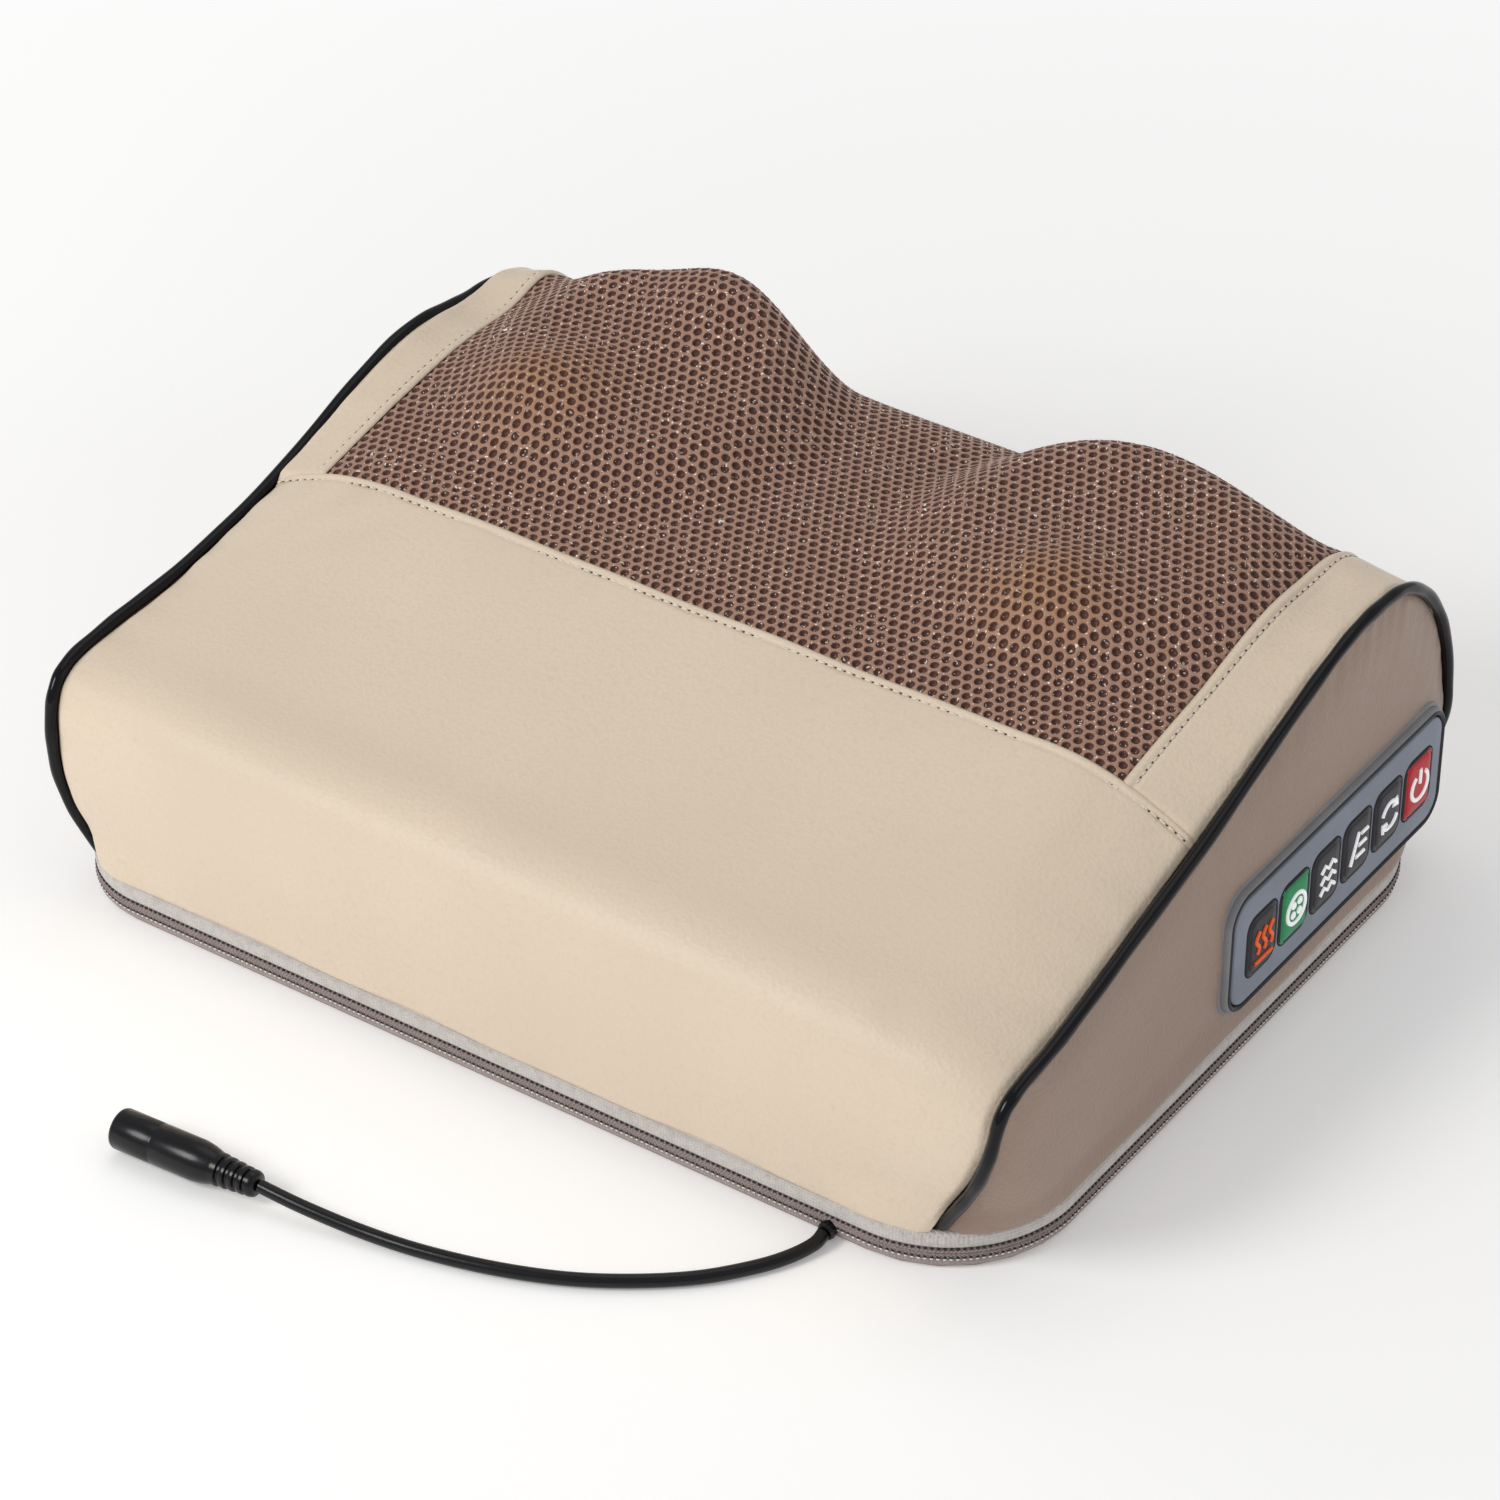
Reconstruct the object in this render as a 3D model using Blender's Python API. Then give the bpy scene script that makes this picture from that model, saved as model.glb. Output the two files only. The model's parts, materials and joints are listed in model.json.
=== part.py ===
"""Shiatsu neck massager: a wedge-shaped pillow with a zipped cover over foam and a kneading mechanism.

Metres, +Z up. The origin is the middle of the flat base, -Y is the low front edge that the neck comes to,
and +X is the end with the control panel. The mechanism is modelled square in a frame of its own, the empty
named mechanism, which leans forward so that the massage heads face along the slope of the top.
"""

import math

import bmesh
import bpy
from mathutils import Matrix, Vector

# ---------------------------------------------------------------- driving dimensions
HALF_LENGTH = 0.160          # centre to either end, at the piping
BASE_FRONT = -0.1270         # outer edge of the zip at the front
BASE_BACK = 0.1230           # and at the back
BASE_HALF_X = 0.1625
BACK_CORNER = 0.040          # plan radius of the base's back corners
FRONT_CORNERS = (0.030, 0.040)  # and of its front corners, left and right
COVER_BOTTOM = 0.0124        # lower edge of the cover's panels, just above the zip
BACK_FOOT = (0.1428, 0.044)  # half the width at the piping's back feet, and the height over which it grows
FRONT_FEET = ((0.1490, 0.030), (0.1413, 0.050))  # and at its front feet, left and right
FOOT_POWER = 1.8             # how round the feet are
SKIN = 0.0016                # thickness of the leathercloth and the mesh
GAP = 0.0003                 # least clearance between neighbouring solids
PIPING_RADIUS = 0.0021
PIPING_ROOM = 0.0032         # how far panels stop short of the piping's centre line

MECHANISM_TILT = math.radians(6)
MECHANISM_PLACE = (0.0, 0.063, 0.0115)
ROTOR_X = 0.080              # either rotor's axis, from the middle
ORBIT_RADIUS = 0.030         # a massage head's axis, from its rotor's
HEAD_RADIUS = 0.020
LEFT_PHASE = math.radians(-26)   # turn of each rotor arm from the Y axis
RIGHT_PHASE = math.radians(8)

DRIVE_MODULE, DRIVE_TEETH, PINION_TEETH = 0.0015, 60, 22
PRESSURE_ANGLE = math.radians(20)
WORM_MODULE, WHEEL_TEETH = 0.0010, 27
WORM_PITCH_RADIUS = 0.0050
WORM_LEAD = math.pi * WORM_MODULE
IDLER_X = ROTOR_X - DRIVE_MODULE * (DRIVE_TEETH + PINION_TEETH) / 2
WORM_HEIGHT = 0.021          # the worm's axis above the mechanism's floor

MOTOR_RADIUS = 0.0122
MOTOR_FRONT, MOTOR_BACK = 0.0178, 0.0446

CASING_HALF_X, CASING_HALF_Y = 0.1310, 0.0508
CASING_WALL = 0.0022
CASING_CORNER = 0.014
CASING_SPLIT = 0.026         # parting line between the two casings
DECK_TOP = 0.046             # top face of the upper casing
SCREW_X, SCREW_Y = 0.1210, 0.0410
SCREW_BOSS = 0.0048          # radius of the bosses round the casing's screws
FEET_X, FEET_Y = 0.0950, 0.0400  # the casing's feet; the back ones are longer because it leans
FOOT_RADIUS = 0.0060

PANEL_CENTRE = (0.0480, 0.0420)  # Y and Z of the control panel's middle
PANEL_SIZE = (0.1220, 0.0410)
PANEL_CORNER = 0.0095
PANEL_FACE_X = 0.1658
KEY_NAMES = ("heat", "mode", "strength", "speed", "direction", "power")
KEY_PITCH = 0.0177
KEY_SIZE = (0.0160, 0.0205)

CORD_RADIUS = 0.0020
GLAND_FACE = (0.1115, -0.1300, 0.0029)  # where the cord leaves its gland
SOCKET_RADIUS = 0.0060
SOCKET_START = (-0.0225, -0.2040, 0.0063)
SOCKET_HEADING = (-0.9984, -0.0560, 0.0)
SOCKET_LENGTH = 0.0470

# The cord's route over the table, from the gland to the socket.
CORD_ROUTE = (
    (0.1115, -0.1306, 0.0029), (0.1114, -0.1350, 0.0025), (0.1085, -0.1425, 0.0021),
    (0.1035, -0.1510, 0.0021), (0.0940, -0.1625, 0.0021), (0.0815, -0.1730, 0.0021),
    (0.0660, -0.1828, 0.0021), (0.0480, -0.1905, 0.0021), (0.0280, -0.1962, 0.0021),
    (0.0100, -0.1996, 0.0026), (-0.0080, -0.2026, 0.0046), (-0.0222, -0.2040, 0.0063),
)
# The supply lead, from the gland, over the bottom panel, to the foot of the control board.
SUPPLY_LEAD = (
    (0.1115, -0.1144, 0.0038), (0.1122, -0.1070, 0.0040), (0.1250, -0.0900, 0.0040),
    (0.1420, -0.0740, 0.0042), (0.1510, -0.0450, 0.0045), (0.1518, -0.0100, 0.0050),
    (0.1519, 0.0130, 0.0085), (0.1519, 0.0235, 0.0170), (0.1519, 0.0270, 0.0260),
    (0.1530, 0.0280, 0.0345), (0.1558, 0.0281, 0.0360),
)
LEAD_Y, LEAD_Z = 0.0310, 0.0360  # the motor's lead where it passes the casing's wall
# The motor's lead in the mechanism's frame: from the control board, through foam and casing, to the motor.
MOTOR_LEAD = (
    (0.1562, LEAD_Y, LEAD_Z), (0.1450, LEAD_Y, LEAD_Z), (0.1310, LEAD_Y, LEAD_Z), (0.1100, LEAD_Y, LEAD_Z),
    (0.0800, 0.0318, 0.0358), (0.0500, 0.0355, 0.0340), (0.0300, 0.0420, 0.0290), (0.0200, 0.0452, 0.0228),
    (0.0126, 0.0458, 0.0212),
)

# The cover's outline at the piping and across the middle, front foot over the top to back foot, as (Y, Z).
END_PROFILE = (
    (-0.1195, 0.0124), (-0.1230, 0.0300), (-0.1255, 0.0500), (-0.1235, 0.0660), (-0.1150, 0.0728),
    (-0.0950, 0.0750), (-0.0650, 0.0780), (-0.0220, 0.0870), (0.0200, 0.1015), (0.0500, 0.1105),
    (0.0700, 0.1125), (0.0880, 0.1095), (0.1040, 0.0970), (0.1150, 0.0770), (0.1200, 0.0500),
    (0.1195, 0.0300), (0.1160, 0.0124),
)
MIDDLE_PROFILE = (
    (-0.1255, 0.0124), (-0.1275, 0.0300), (-0.1285, 0.0500), (-0.1265, 0.0670), (-0.1165, 0.0760),
    (-0.0960, 0.0800), (-0.0660, 0.0880), (-0.0220, 0.1010), (0.0200, 0.1060), (0.0500, 0.1060),
    (0.0700, 0.1050), (0.0900, 0.1035), (0.1060, 0.0940), (0.1160, 0.0770), (0.1210, 0.0500),
    (0.1215, 0.0300), (0.1215, 0.0124),
)
TOP_SEAM, BACK_SEAM, LAST = 7.0, 13.0, 16.0   # profile stations of the mesh's two long seams
MESH_LEFT, MESH_RIGHT = -0.1400, 0.1345        # X of the mesh's two short seams
SHOULDER = 0.050             # the cover rises to its middle profile over this width
DOME_FLAT, DOME_EDGE = 0.036, 0.068  # radii of the dome over each rotor
DOME_Y = 0.0524              # where a rotor's axis meets the cover
DOME_HEIGHT, DOME_SLOPE = 0.0125, 0.15
# The fabric over the heads and the full corners behind them: (X, Y, rise, spread).
BUMPS = (
    (-0.0720, 0.0860, 0.0120, 0.017), (-0.0960, 0.0290, 0.0080, 0.014), (-0.1150, 0.0860, 0.0040, 0.013),
    (-0.1410, 0.0880, 0.0070, 0.012), (0.0740, 0.0860, 0.0025, 0.017), (0.0830, 0.0220, 0.0070, 0.014),
    (0.1290, 0.0940, 0.0060, 0.014),
)
BUMP_FADE = 1.5              # stations over which the bumps die out before the back seam
# Where the piping dips, left and right: Y of the middle, depth, spread, and the height above which it does.
DIPS = ((0.0750, 0.0090, 0.020, 0.050), (-0.1120, 0.0053, 0.032, 0.020))
DIP_FADE = 0.040             # height over which the dips set in
# Where the nose is fuller, left and right: station of the middle, spread, and rise in half width.
SWELLS = ((4.9, 1.3, 0.0022), (4.3, 1.8, 0.0024))


# ---------------------------------------------------------------- scene and materials
def clear_scene():
    for obj in list(bpy.data.objects):
        bpy.data.objects.remove(obj)


MATERIALS = {
    "cream_leathercloth": ((0.700, 0.600, 0.455), 0.50, 0.0),
    "taupe_leathercloth": ((0.330, 0.270, 0.235), 0.45, 0.0),
    "brown_mesh": ((0.200, 0.125, 0.095), 0.80, 0.0),
    "black_vinyl": ((0.010, 0.011, 0.014), 0.20, 0.0),
    "zip_tape": ((0.480, 0.440, 0.420), 0.80, 0.0),
    "zip_coil": ((0.300, 0.250, 0.235), 0.45, 0.0),
    "foam": ((0.750, 0.700, 0.520), 0.95, 0.0),
    "casing_plastic": ((0.060, 0.060, 0.065), 0.50, 0.0),
    "gear_plastic": ((0.800, 0.790, 0.740), 0.40, 0.0),
    "head_plastic": ((0.450, 0.200, 0.080), 0.35, 0.0),
    "steel": ((0.560, 0.570, 0.580), 0.30, 1.0),
    "brass": ((0.700, 0.520, 0.250), 0.30, 1.0),
    "lamp_glass": ((0.900, 0.250, 0.080), 0.10, 0.0),
    "panel_rubber": ((0.035, 0.037, 0.045), 0.50, 0.0),
    "panel_grey": ((0.230, 0.250, 0.300), 0.45, 0.0),
    "key_dark": ((0.020, 0.020, 0.024), 0.40, 0.0),
    "key_green": ((0.010, 0.250, 0.080), 0.40, 0.0),
    "key_red": ((0.500, 0.010, 0.015), 0.40, 0.0),
    "board": ((0.020, 0.180, 0.070), 0.45, 0.0),
    "cable_black": ((0.012, 0.012, 0.014), 0.35, 0.0),
}


def material(name):
    found = bpy.data.materials.get(name)
    if found:
        return found
    colour, roughness, metallic = MATERIALS[name]
    made = bpy.data.materials.new(name)
    made.use_nodes = True
    shader = made.node_tree.nodes["Principled BSDF"]
    shader.inputs["Base Color"].default_value = (*colour, 1.0)
    shader.inputs["Roughness"].default_value = roughness
    shader.inputs["Metallic"].default_value = metallic
    return made


def mesh_of(name, bm):
    """The bmesh as a closed mesh with its faces pointing out."""
    bmesh.ops.remove_doubles(bm, verts=bm.verts, dist=1e-6)
    bmesh.ops.recalc_face_normals(bm, faces=bm.faces)
    if bm.calc_volume(signed=True) < 0:
        bmesh.ops.reverse_faces(bm, faces=bm.faces)
    mesh = bpy.data.meshes.new(name)
    bm.to_mesh(mesh)
    bm.free()
    return mesh


def place(name, shape, finish, location=(0, 0, 0), rotation=(0, 0, 0), parent=None):
    """A named node from a bmesh or a mesh."""
    mesh = shape if isinstance(shape, bpy.types.Mesh) else mesh_of(name, shape)
    mesh.materials.clear()
    mesh.materials.append(material(finish))
    mesh.shade_smooth()
    mesh.set_sharp_from_angle(angle=math.radians(35))
    obj = bpy.data.objects.new(name, mesh)
    bpy.context.scene.collection.objects.link(obj)
    obj.location = location
    obj.rotation_euler = rotation
    obj.parent = parent
    return obj


def empty(name, location, rotation=(0, 0, 0), parent=None):
    obj = bpy.data.objects.new(name, None)
    bpy.context.scene.collection.objects.link(obj)
    obj.location = location
    obj.rotation_euler = rotation
    obj.parent = parent
    return obj


def boolean(name, base, steps):
    """The base bmesh after each (operation, bmesh) step, as a mesh."""
    body = bpy.data.objects.new(name, mesh_of(name, base))
    bpy.context.scene.collection.objects.link(body)
    tools = []
    for operation, shape in steps:
        tool = bpy.data.objects.new(name + "_tool", mesh_of(name, shape))
        bpy.context.scene.collection.objects.link(tool)
        modifier = body.modifiers.new(operation.title(), "BOOLEAN")
        modifier.operation = operation
        modifier.object = tool
        tools.append(tool)
    bpy.context.view_layer.update()
    graph = bpy.context.evaluated_depsgraph_get()
    mesh = bpy.data.meshes.new_from_object(body.evaluated_get(graph))
    for obj in (body, *tools):
        bpy.data.objects.remove(obj)
    bm = bmesh.new()
    bm.from_mesh(mesh)
    bmesh.ops.remove_doubles(bm, verts=bm.verts, dist=2e-6)
    bmesh.ops.dissolve_degenerate(bm, edges=bm.edges, dist=2e-6)
    bm.to_mesh(mesh)
    bm.free()
    return mesh


# ---------------------------------------------------------------- shapes
def prism(outline, low, high):
    """A bmesh of a flat outline of (x, y) points, extruded along Z."""
    bm = bmesh.new()
    face = bm.faces.new([bm.verts.new((x, y, low)) for x, y in outline])
    raised = bmesh.ops.extrude_face_region(bm, geom=[face])
    tops = [item for item in raised["geom"] if isinstance(item, bmesh.types.BMVert)]
    bmesh.ops.translate(bm, verts=tops, vec=(0, 0, high - low))
    return bm


def turned(profile, segments):
    """A bmesh turned about Z from (radius, z) points: a loop round a bore, or a line from axis to axis."""
    bm = bmesh.new()
    angles = [2 * math.pi * i / segments for i in range(segments)]
    rings = []
    for radius, z in profile:
        if radius == 0:
            rings.append([bm.verts.new((0, 0, z))] * segments)
        else:
            rings.append([bm.verts.new((radius * math.cos(a), radius * math.sin(a), z)) for a in angles])
    bored = all(radius > 0 for radius, _ in profile)
    following = rings[1:] + (rings[:1] if bored else [])
    for ring, after in zip(rings, following):
        for i in range(segments):
            j = (i + 1) % segments
            corners = list(dict.fromkeys((ring[i], ring[j], after[j], after[i])))
            if len(corners) > 2:
                bm.faces.new(corners)
    return bm


def rod(radius, low, high, segments=16):
    return turned([(0, low), (radius, low), (radius, high), (0, high)], segments)


def moved(bm, matrix):
    bmesh.ops.transform(bm, matrix=matrix, verts=bm.verts)
    return bm


def at(x, y, z):
    return Matrix.Translation((x, y, z))


def along_y():
    """Turns a shape made along Z to lie along Y."""
    return Matrix.Rotation(math.radians(-90), 4, "X")


def along_x():
    return Matrix.Rotation(math.radians(90), 4, "Y")


def box(size, centre):
    bm = bmesh.new()
    bmesh.ops.create_cube(bm, size=1.0)
    return moved(bm, at(*centre) @ Matrix.Diagonal((*size, 1.0)))


def rounded_rectangle(half_x, half_y, radius, steps=4, centre=(0, 0)):
    """Corner arcs anticlockwise from the lower right."""
    points = []
    for quarter, (sx, sy) in enumerate(((1, -1), (1, 1), (-1, 1), (-1, -1))):
        start = math.radians(-90 + 90 * quarter)
        for i in range(steps + 1):
            angle = start + math.radians(90) * i / steps
            x = centre[0] + sx * (half_x - radius) + radius * math.cos(angle)
            y = centre[1] + sy * (half_y - radius) + radius * math.sin(angle)
            points.append((x, y))
    return points


def shell_between(outer, inner):
    """A closed bmesh between two matching grids of points."""
    bm = bmesh.new()
    grids = [[[bm.verts.new(p) for p in row] for row in grid] for grid in (outer, inner)]
    rows, columns = len(outer), len(outer[0])

    def face(*corners):
        distinct = [v for i, v in enumerate(corners) if (v.co - corners[i - 1].co).length > 1e-7]
        if len(distinct) > 2:
            bm.faces.new(distinct)

    for grid in grids:
        for i in range(rows - 1):
            for j in range(columns - 1):
                face(grid[i][j], grid[i][j + 1], grid[i + 1][j + 1], grid[i + 1][j])
    outside, inside = grids
    for i in range(rows - 1):
        for j in (0, columns - 1):
            face(outside[i][j], outside[i + 1][j], inside[i + 1][j], inside[i][j])
    for j in range(columns - 1):
        for i in (0, rows - 1):
            face(outside[i][j], outside[i][j + 1], inside[i][j + 1], inside[i][j])
    return bm


def smooth_curve(points, station):
    """A point on the Catmull-Rom curve through the points, at a station counted in points."""
    i = min(int(station), len(points) - 2)
    t = station - i
    before = Vector(points[max(i - 1, 0)])
    a, b = Vector(points[i]), Vector(points[i + 1])
    after = Vector(points[min(i + 2, len(points) - 1)])
    return 0.5 * (
        2 * a + (b - before) * t + (2 * before - 5 * a + 4 * b - after) * t**2
        + (3 * a - before - 3 * b + after) * t**3
    )


def tube(name, route, radius, count, finish, parent=None):
    """A cord as a curve with a round bevel, through a smooth curve of the route's points."""
    curve = bpy.data.curves.new(name, "CURVE")
    curve.dimensions = "3D"
    curve.bevel_depth = radius
    curve.bevel_resolution = 2
    curve.use_fill_caps = True
    spline = curve.splines.new("POLY")
    spline.points.add(count - 1)
    for i, point in enumerate(spline.points):
        point.co = (*smooth_curve(route, (len(route) - 1) * i / (count - 1)), 1.0)
    obj = bpy.data.objects.new(name, curve)
    bpy.context.scene.collection.objects.link(obj)
    obj.parent = parent
    curve.materials.append(material(finish))
    return obj


# ---------------------------------------------------------------- the cover's surface
def eased(share):
    share = max(0.0, min(1.0, share))
    return share * share * (3 - 2 * share)


def of_side(side, pair):
    """The left or the right one of a pair, for a side's sign or any X."""
    return pair[0] if side < 0 else pair[1]


def half_width(side, station):
    """Half the cover's width at a profile station: the feet curve in to the base's corner arcs."""
    over_zip = smooth_curve(END_PROFILE, station)[1] - COVER_BOTTOM
    middle, spread, rise = of_side(side, SWELLS)
    full = HALF_LENGTH + rise * math.exp(-(((station - middle) / spread) ** 2))
    foot, height = BACK_FOOT if station > TOP_SEAM else of_side(side, FRONT_FEET)
    return foot + (full - foot) * (1 - max(0.0, 1 - over_zip / height) ** FOOT_POWER)


def end_line(side, station):
    """A point on the line of an end's piping, as (Y, Z)."""
    point = smooth_curve(END_PROFILE, station)
    middle, depth, spread, above = of_side(side, DIPS)
    share = math.exp(-((point.x - middle) ** 2) / (2 * spread**2))
    point.y -= depth * share * eased((point.y - above) / DIP_FADE)
    return point


def cover_point(x, station):
    """A point on the cover's outer surface."""
    inside = max(0.0, half_width(x, station) - abs(x)) / SHOULDER
    rise = 1 - (1 - min(inside, 1.0)) ** 2
    y, z = end_line(x, station).lerp(smooth_curve(MIDDLE_PROFILE, station), rise)
    if TOP_SEAM < station < BACK_SEAM:
        from_axis = math.hypot(abs(x) - ROTOR_X, y - DOME_Y)
        dome = 1 - eased((from_axis - DOME_FLAT) / (DOME_EDGE - DOME_FLAT))
        z += dome * (DOME_HEIGHT + DOME_SLOPE * (y - DOME_Y)) * eased((station - TOP_SEAM) * 1.6)
        fade = eased((BACK_SEAM - station) / BUMP_FADE)
        for bump_x, bump_y, height, spread in BUMPS:
            away = (x - bump_x) ** 2 + (y - bump_y) ** 2
            z += fade * height * math.exp(-away / (2 * spread**2))
    return Vector((x, y, z))


def cover_normal(x, station):
    step = 1e-3
    across = cover_point(x + step, station) - cover_point(x - step, station)
    low, high = max(station - step, 0), min(station + step, LAST)
    along = cover_point(x, high) - cover_point(x, low)
    return across.cross(along).normalized()


def cover_panel(name, finish, first, last, rows, left, right, columns):
    """A panel of the cover between two profile stations and two edges, each X as a function of station."""
    outer, inner = [], []
    for i in range(rows + 1):
        station = first + (last - first) * i / rows
        low, high = left(station), right(station)
        xs = [low + (high - low) * j / columns for j in range(columns + 1)]
        surface = [cover_point(x, station) for x in xs]
        outer.append(surface)
        inner.append([p - cover_normal(x, station) * SKIN for p, x in zip(surface, xs)])
    return place(name, shell_between(outer, inner), finish)


def make_cover():
    edge = 0.02              # share of a station left free at each seam
    top = (TOP_SEAM + edge, BACK_SEAM - edge)

    def edge_width(side, station):
        near, far = max(station - 0.05, 0), min(station + 0.05, LAST)
        run = (end_line(side, far) - end_line(side, near)).length
        slope = (half_width(side, far) - half_width(side, near)) / run
        return half_width(side, station) - PIPING_ROOM * math.hypot(1, slope)

    def left_edge(station):
        return -edge_width(-1, station)

    def right_edge(station):
        return edge_width(1, station)

    cream = "cream_leathercloth"
    cover_panel("front_panel", cream, 0, TOP_SEAM - edge, 14, left_edge, right_edge, 12)
    cover_panel("back_panel", cream, BACK_SEAM + edge, LAST, 9, left_edge, right_edge, 10)
    cover_panel("mesh_panel", "brown_mesh", *top, 12, lambda s: MESH_LEFT, lambda s: MESH_RIGHT, 22)
    cover_panel("left_top_strip", cream, *top, 12, left_edge, lambda s: MESH_LEFT - GAP, 3)
    cover_panel("right_top_strip", cream, *top, 12, lambda s: MESH_RIGHT + GAP, right_edge, 3)
    for side, name in ((-1, "left"), (1, "right")):
        place(name + "_end_panel", end_panel(name, side), "taupe_leathercloth")
        make_piping(name + "_piping", side)


def corner_arc(corner, foot_x):
    """A base corner as the cover meets it: its radius, its centre's X, and the turn to the piping's foot."""
    radius, centre_x = corner - SKIN, BASE_HALF_X - corner
    return radius, centre_x, math.acos((foot_x - centre_x) / radius)


def base_line(side, share):
    """A point on the base's outline round an end, from the front foot to the back foot, with X positive."""
    corner = of_side(side, FRONT_CORNERS)
    radius, centre_x, turn = corner_arc(corner, of_side(side, FRONT_FEET)[0])
    back_radius, back_x, back_turn = corner_arc(BACK_CORNER, BACK_FOOT[0])
    front, back = BASE_FRONT + corner, BASE_BACK - BACK_CORNER
    arc, straight = radius * turn, back - front
    at_length = share * (arc + straight + back_radius * back_turn)
    if at_length < arc:
        angle = -turn + at_length / radius
        return Vector((centre_x + radius * math.cos(angle), front + radius * math.sin(angle)))
    if at_length > arc + straight:
        angle = (at_length - arc - straight) / back_radius
        return Vector((back_x + back_radius * math.cos(angle), back + back_radius * math.sin(angle)))
    return Vector((centre_x + radius, front + at_length - arc))


def inward(side, station):
    """The direction in an end's plane from the piping towards the middle of the end panel, as (Y, Z)."""
    near, far = max(station - 0.05, 0), min(station + 0.05, LAST)
    along = end_line(side, far) - end_line(side, near)
    return Vector((along.y, -along.x)).normalized()


def end_panel(name, side):
    """The end's leathercloth: from just inside the piping down to the base, wrapped round its corners."""
    columns, rows, foot = 22, 4, 0.022
    outer, inner = [], []
    for column in range(columns + 1):
        share = foot + (1 - 2 * foot) * column / columns
        station = LAST * share
        edge = end_line(side, station) + inward(side, station) * PIPING_ROOM
        high = Vector((half_width(side, station), *edge))
        low = Vector((*base_line(side, share), COVER_BOTTOM))
        line = [high.lerp(low, row / rows) for row in range(rows + 1)]
        outer.append(line)
        inner.append([p - Vector((SKIN, 0, 0)) for p in line])
    mirror = Matrix.Diagonal((side, 1, 1, 1))
    shell = moved(shell_between(outer, inner), mirror)
    if side < 0:
        return shell
    return boolean(name, shell, [("DIFFERENCE", panel_slab(0.0004, 0.10, 0.20))])


def make_piping(name, side):
    """The welt round an end, from the zip at the front, over the top, to the zip at the back."""
    count = 40
    route = []
    for i in range(count):
        station = LAST * i / (count - 1)
        y, z = end_line(side, station)
        route.append((side * half_width(side, station), y, max(z, COVER_BOTTOM + PIPING_RADIUS)))
    tube(name, route, PIPING_RADIUS, count, "black_vinyl")


# ---------------------------------------------------------------- base and zip
def base_outline(inset):
    """The base's rounded outline, moved in by inset. Its front left corner is the tightest."""
    left, right = FRONT_CORNERS
    corners = ((1, BASE_FRONT + right, right), (1, BASE_BACK - BACK_CORNER, BACK_CORNER),
               (-1, BASE_BACK - BACK_CORNER, BACK_CORNER), (-1, BASE_FRONT + left, left))
    steps = 6
    points = []
    for quarter, (side, centre_y, radius) in enumerate(corners):
        for step in range(steps + 1):
            angle = math.pi / 2 * (quarter - 1 + step / steps)
            x = side * (BASE_HALF_X - radius) + (radius - inset) * math.cos(angle)
            points.append((x, centre_y + (radius - inset) * math.sin(angle)))
    return points


def base_ring(low, high, thickness, inset=0.0):
    """A band round the base's edge."""
    outline = base_outline(inset)
    hole = base_outline(inset + thickness)
    bm = bmesh.new()
    rings = [[bm.verts.new((x, y, z)) for x, y in line]
             for line, z in ((outline, low), (outline, high), (hole, high), (hole, low))]
    count = len(outline)
    for ring, after in zip(rings, rings[1:] + rings[:1]):
        for i in range(count):
            j = (i + 1) % count
            bm.faces.new((ring[i], ring[j], after[j], after[i]))
    return bm


def gland_cutter():
    """Clears the cord's gland through the zip and the edge of the bottom panel."""
    lying = moved(rod(0.0032, -0.020, 0.020, 12), along_y())
    return moved(lying, at(*GLAND_FACE))


def make_base():
    plate = prism(base_outline(0.001), 0.0, 0.0020)
    bottom = boolean("bottom_panel", plate, [("DIFFERENCE", gland_cutter())])
    place("bottom_panel", bottom, "taupe_leathercloth")
    lower = boolean("lower", base_ring(0.0023, 0.0056, 0.0020), [("DIFFERENCE", gland_cutter())])
    place("zipper_lower_tape", lower, "zip_tape")
    place("zipper_coil", base_ring(0.0062, 0.0078, 0.0016, 0.0002), "zip_coil")
    place("zipper_upper_tape", base_ring(0.0082, 0.0119, 0.0020), "zip_tape")
    make_slider()


def make_slider():
    """The zip's slider on the back edge, with its pull hinged on a bridge."""
    slider_x, face_y, middle_z = -0.060, BASE_BACK + GAP, 0.0070
    hinge = 0.0042           # the pull's hinge line stands this far off the zip
    outline = [(0.0050, -0.0034), (0.0050, 0.0034), (0.0010, 0.0044), (-0.0060, 0.0034), (-0.0060, -0.0034),
               (0.0010, -0.0044)]
    steps = [("UNION", moved(rod(0.0006, -0.0030, 0.0030, 8), at(0, hinge, 0)))]
    for z in (-0.0025, 0.0025):
        steps.append(("UNION", box((0.0032, 0.0032, 0.0018), (0, 0.0027, z))))
        steps.append(("UNION", moved(rod(0.0015, z - 0.0008, z + 0.0008, 10), at(0, hinge, 0))))
    plate = moved(prism(outline, -0.0016, 0.0), Matrix.Rotation(math.pi / 2, 4, "X"))
    place("zipper_slider", boolean("slider", plate, steps), "steel", (slider_x, face_y, middle_z))
    ring = [(0.0010, -0.0012), (0.0020, -0.0012), (0.0020, 0.0012), (0.0010, 0.0012)]
    leaf = box((0.0200, 0.0010, 0.0022), (0.0116, 0.0, 0))
    pull = boolean("pull", turned(ring, 12), [("UNION", leaf)])
    place("zipper_pull", pull, "steel", (slider_x, face_y + hinge, middle_z))


# ---------------------------------------------------------------- foam
def side_prism(outline, low, high):
    """A prism of a (Y, Z) outline along X."""
    turn = Matrix(((0, 0, 1, 0), (1, 0, 0, 0), (0, 1, 0, 0), (0, 0, 0, 1)))
    return moved(prism(outline, low, high), turn)


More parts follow.
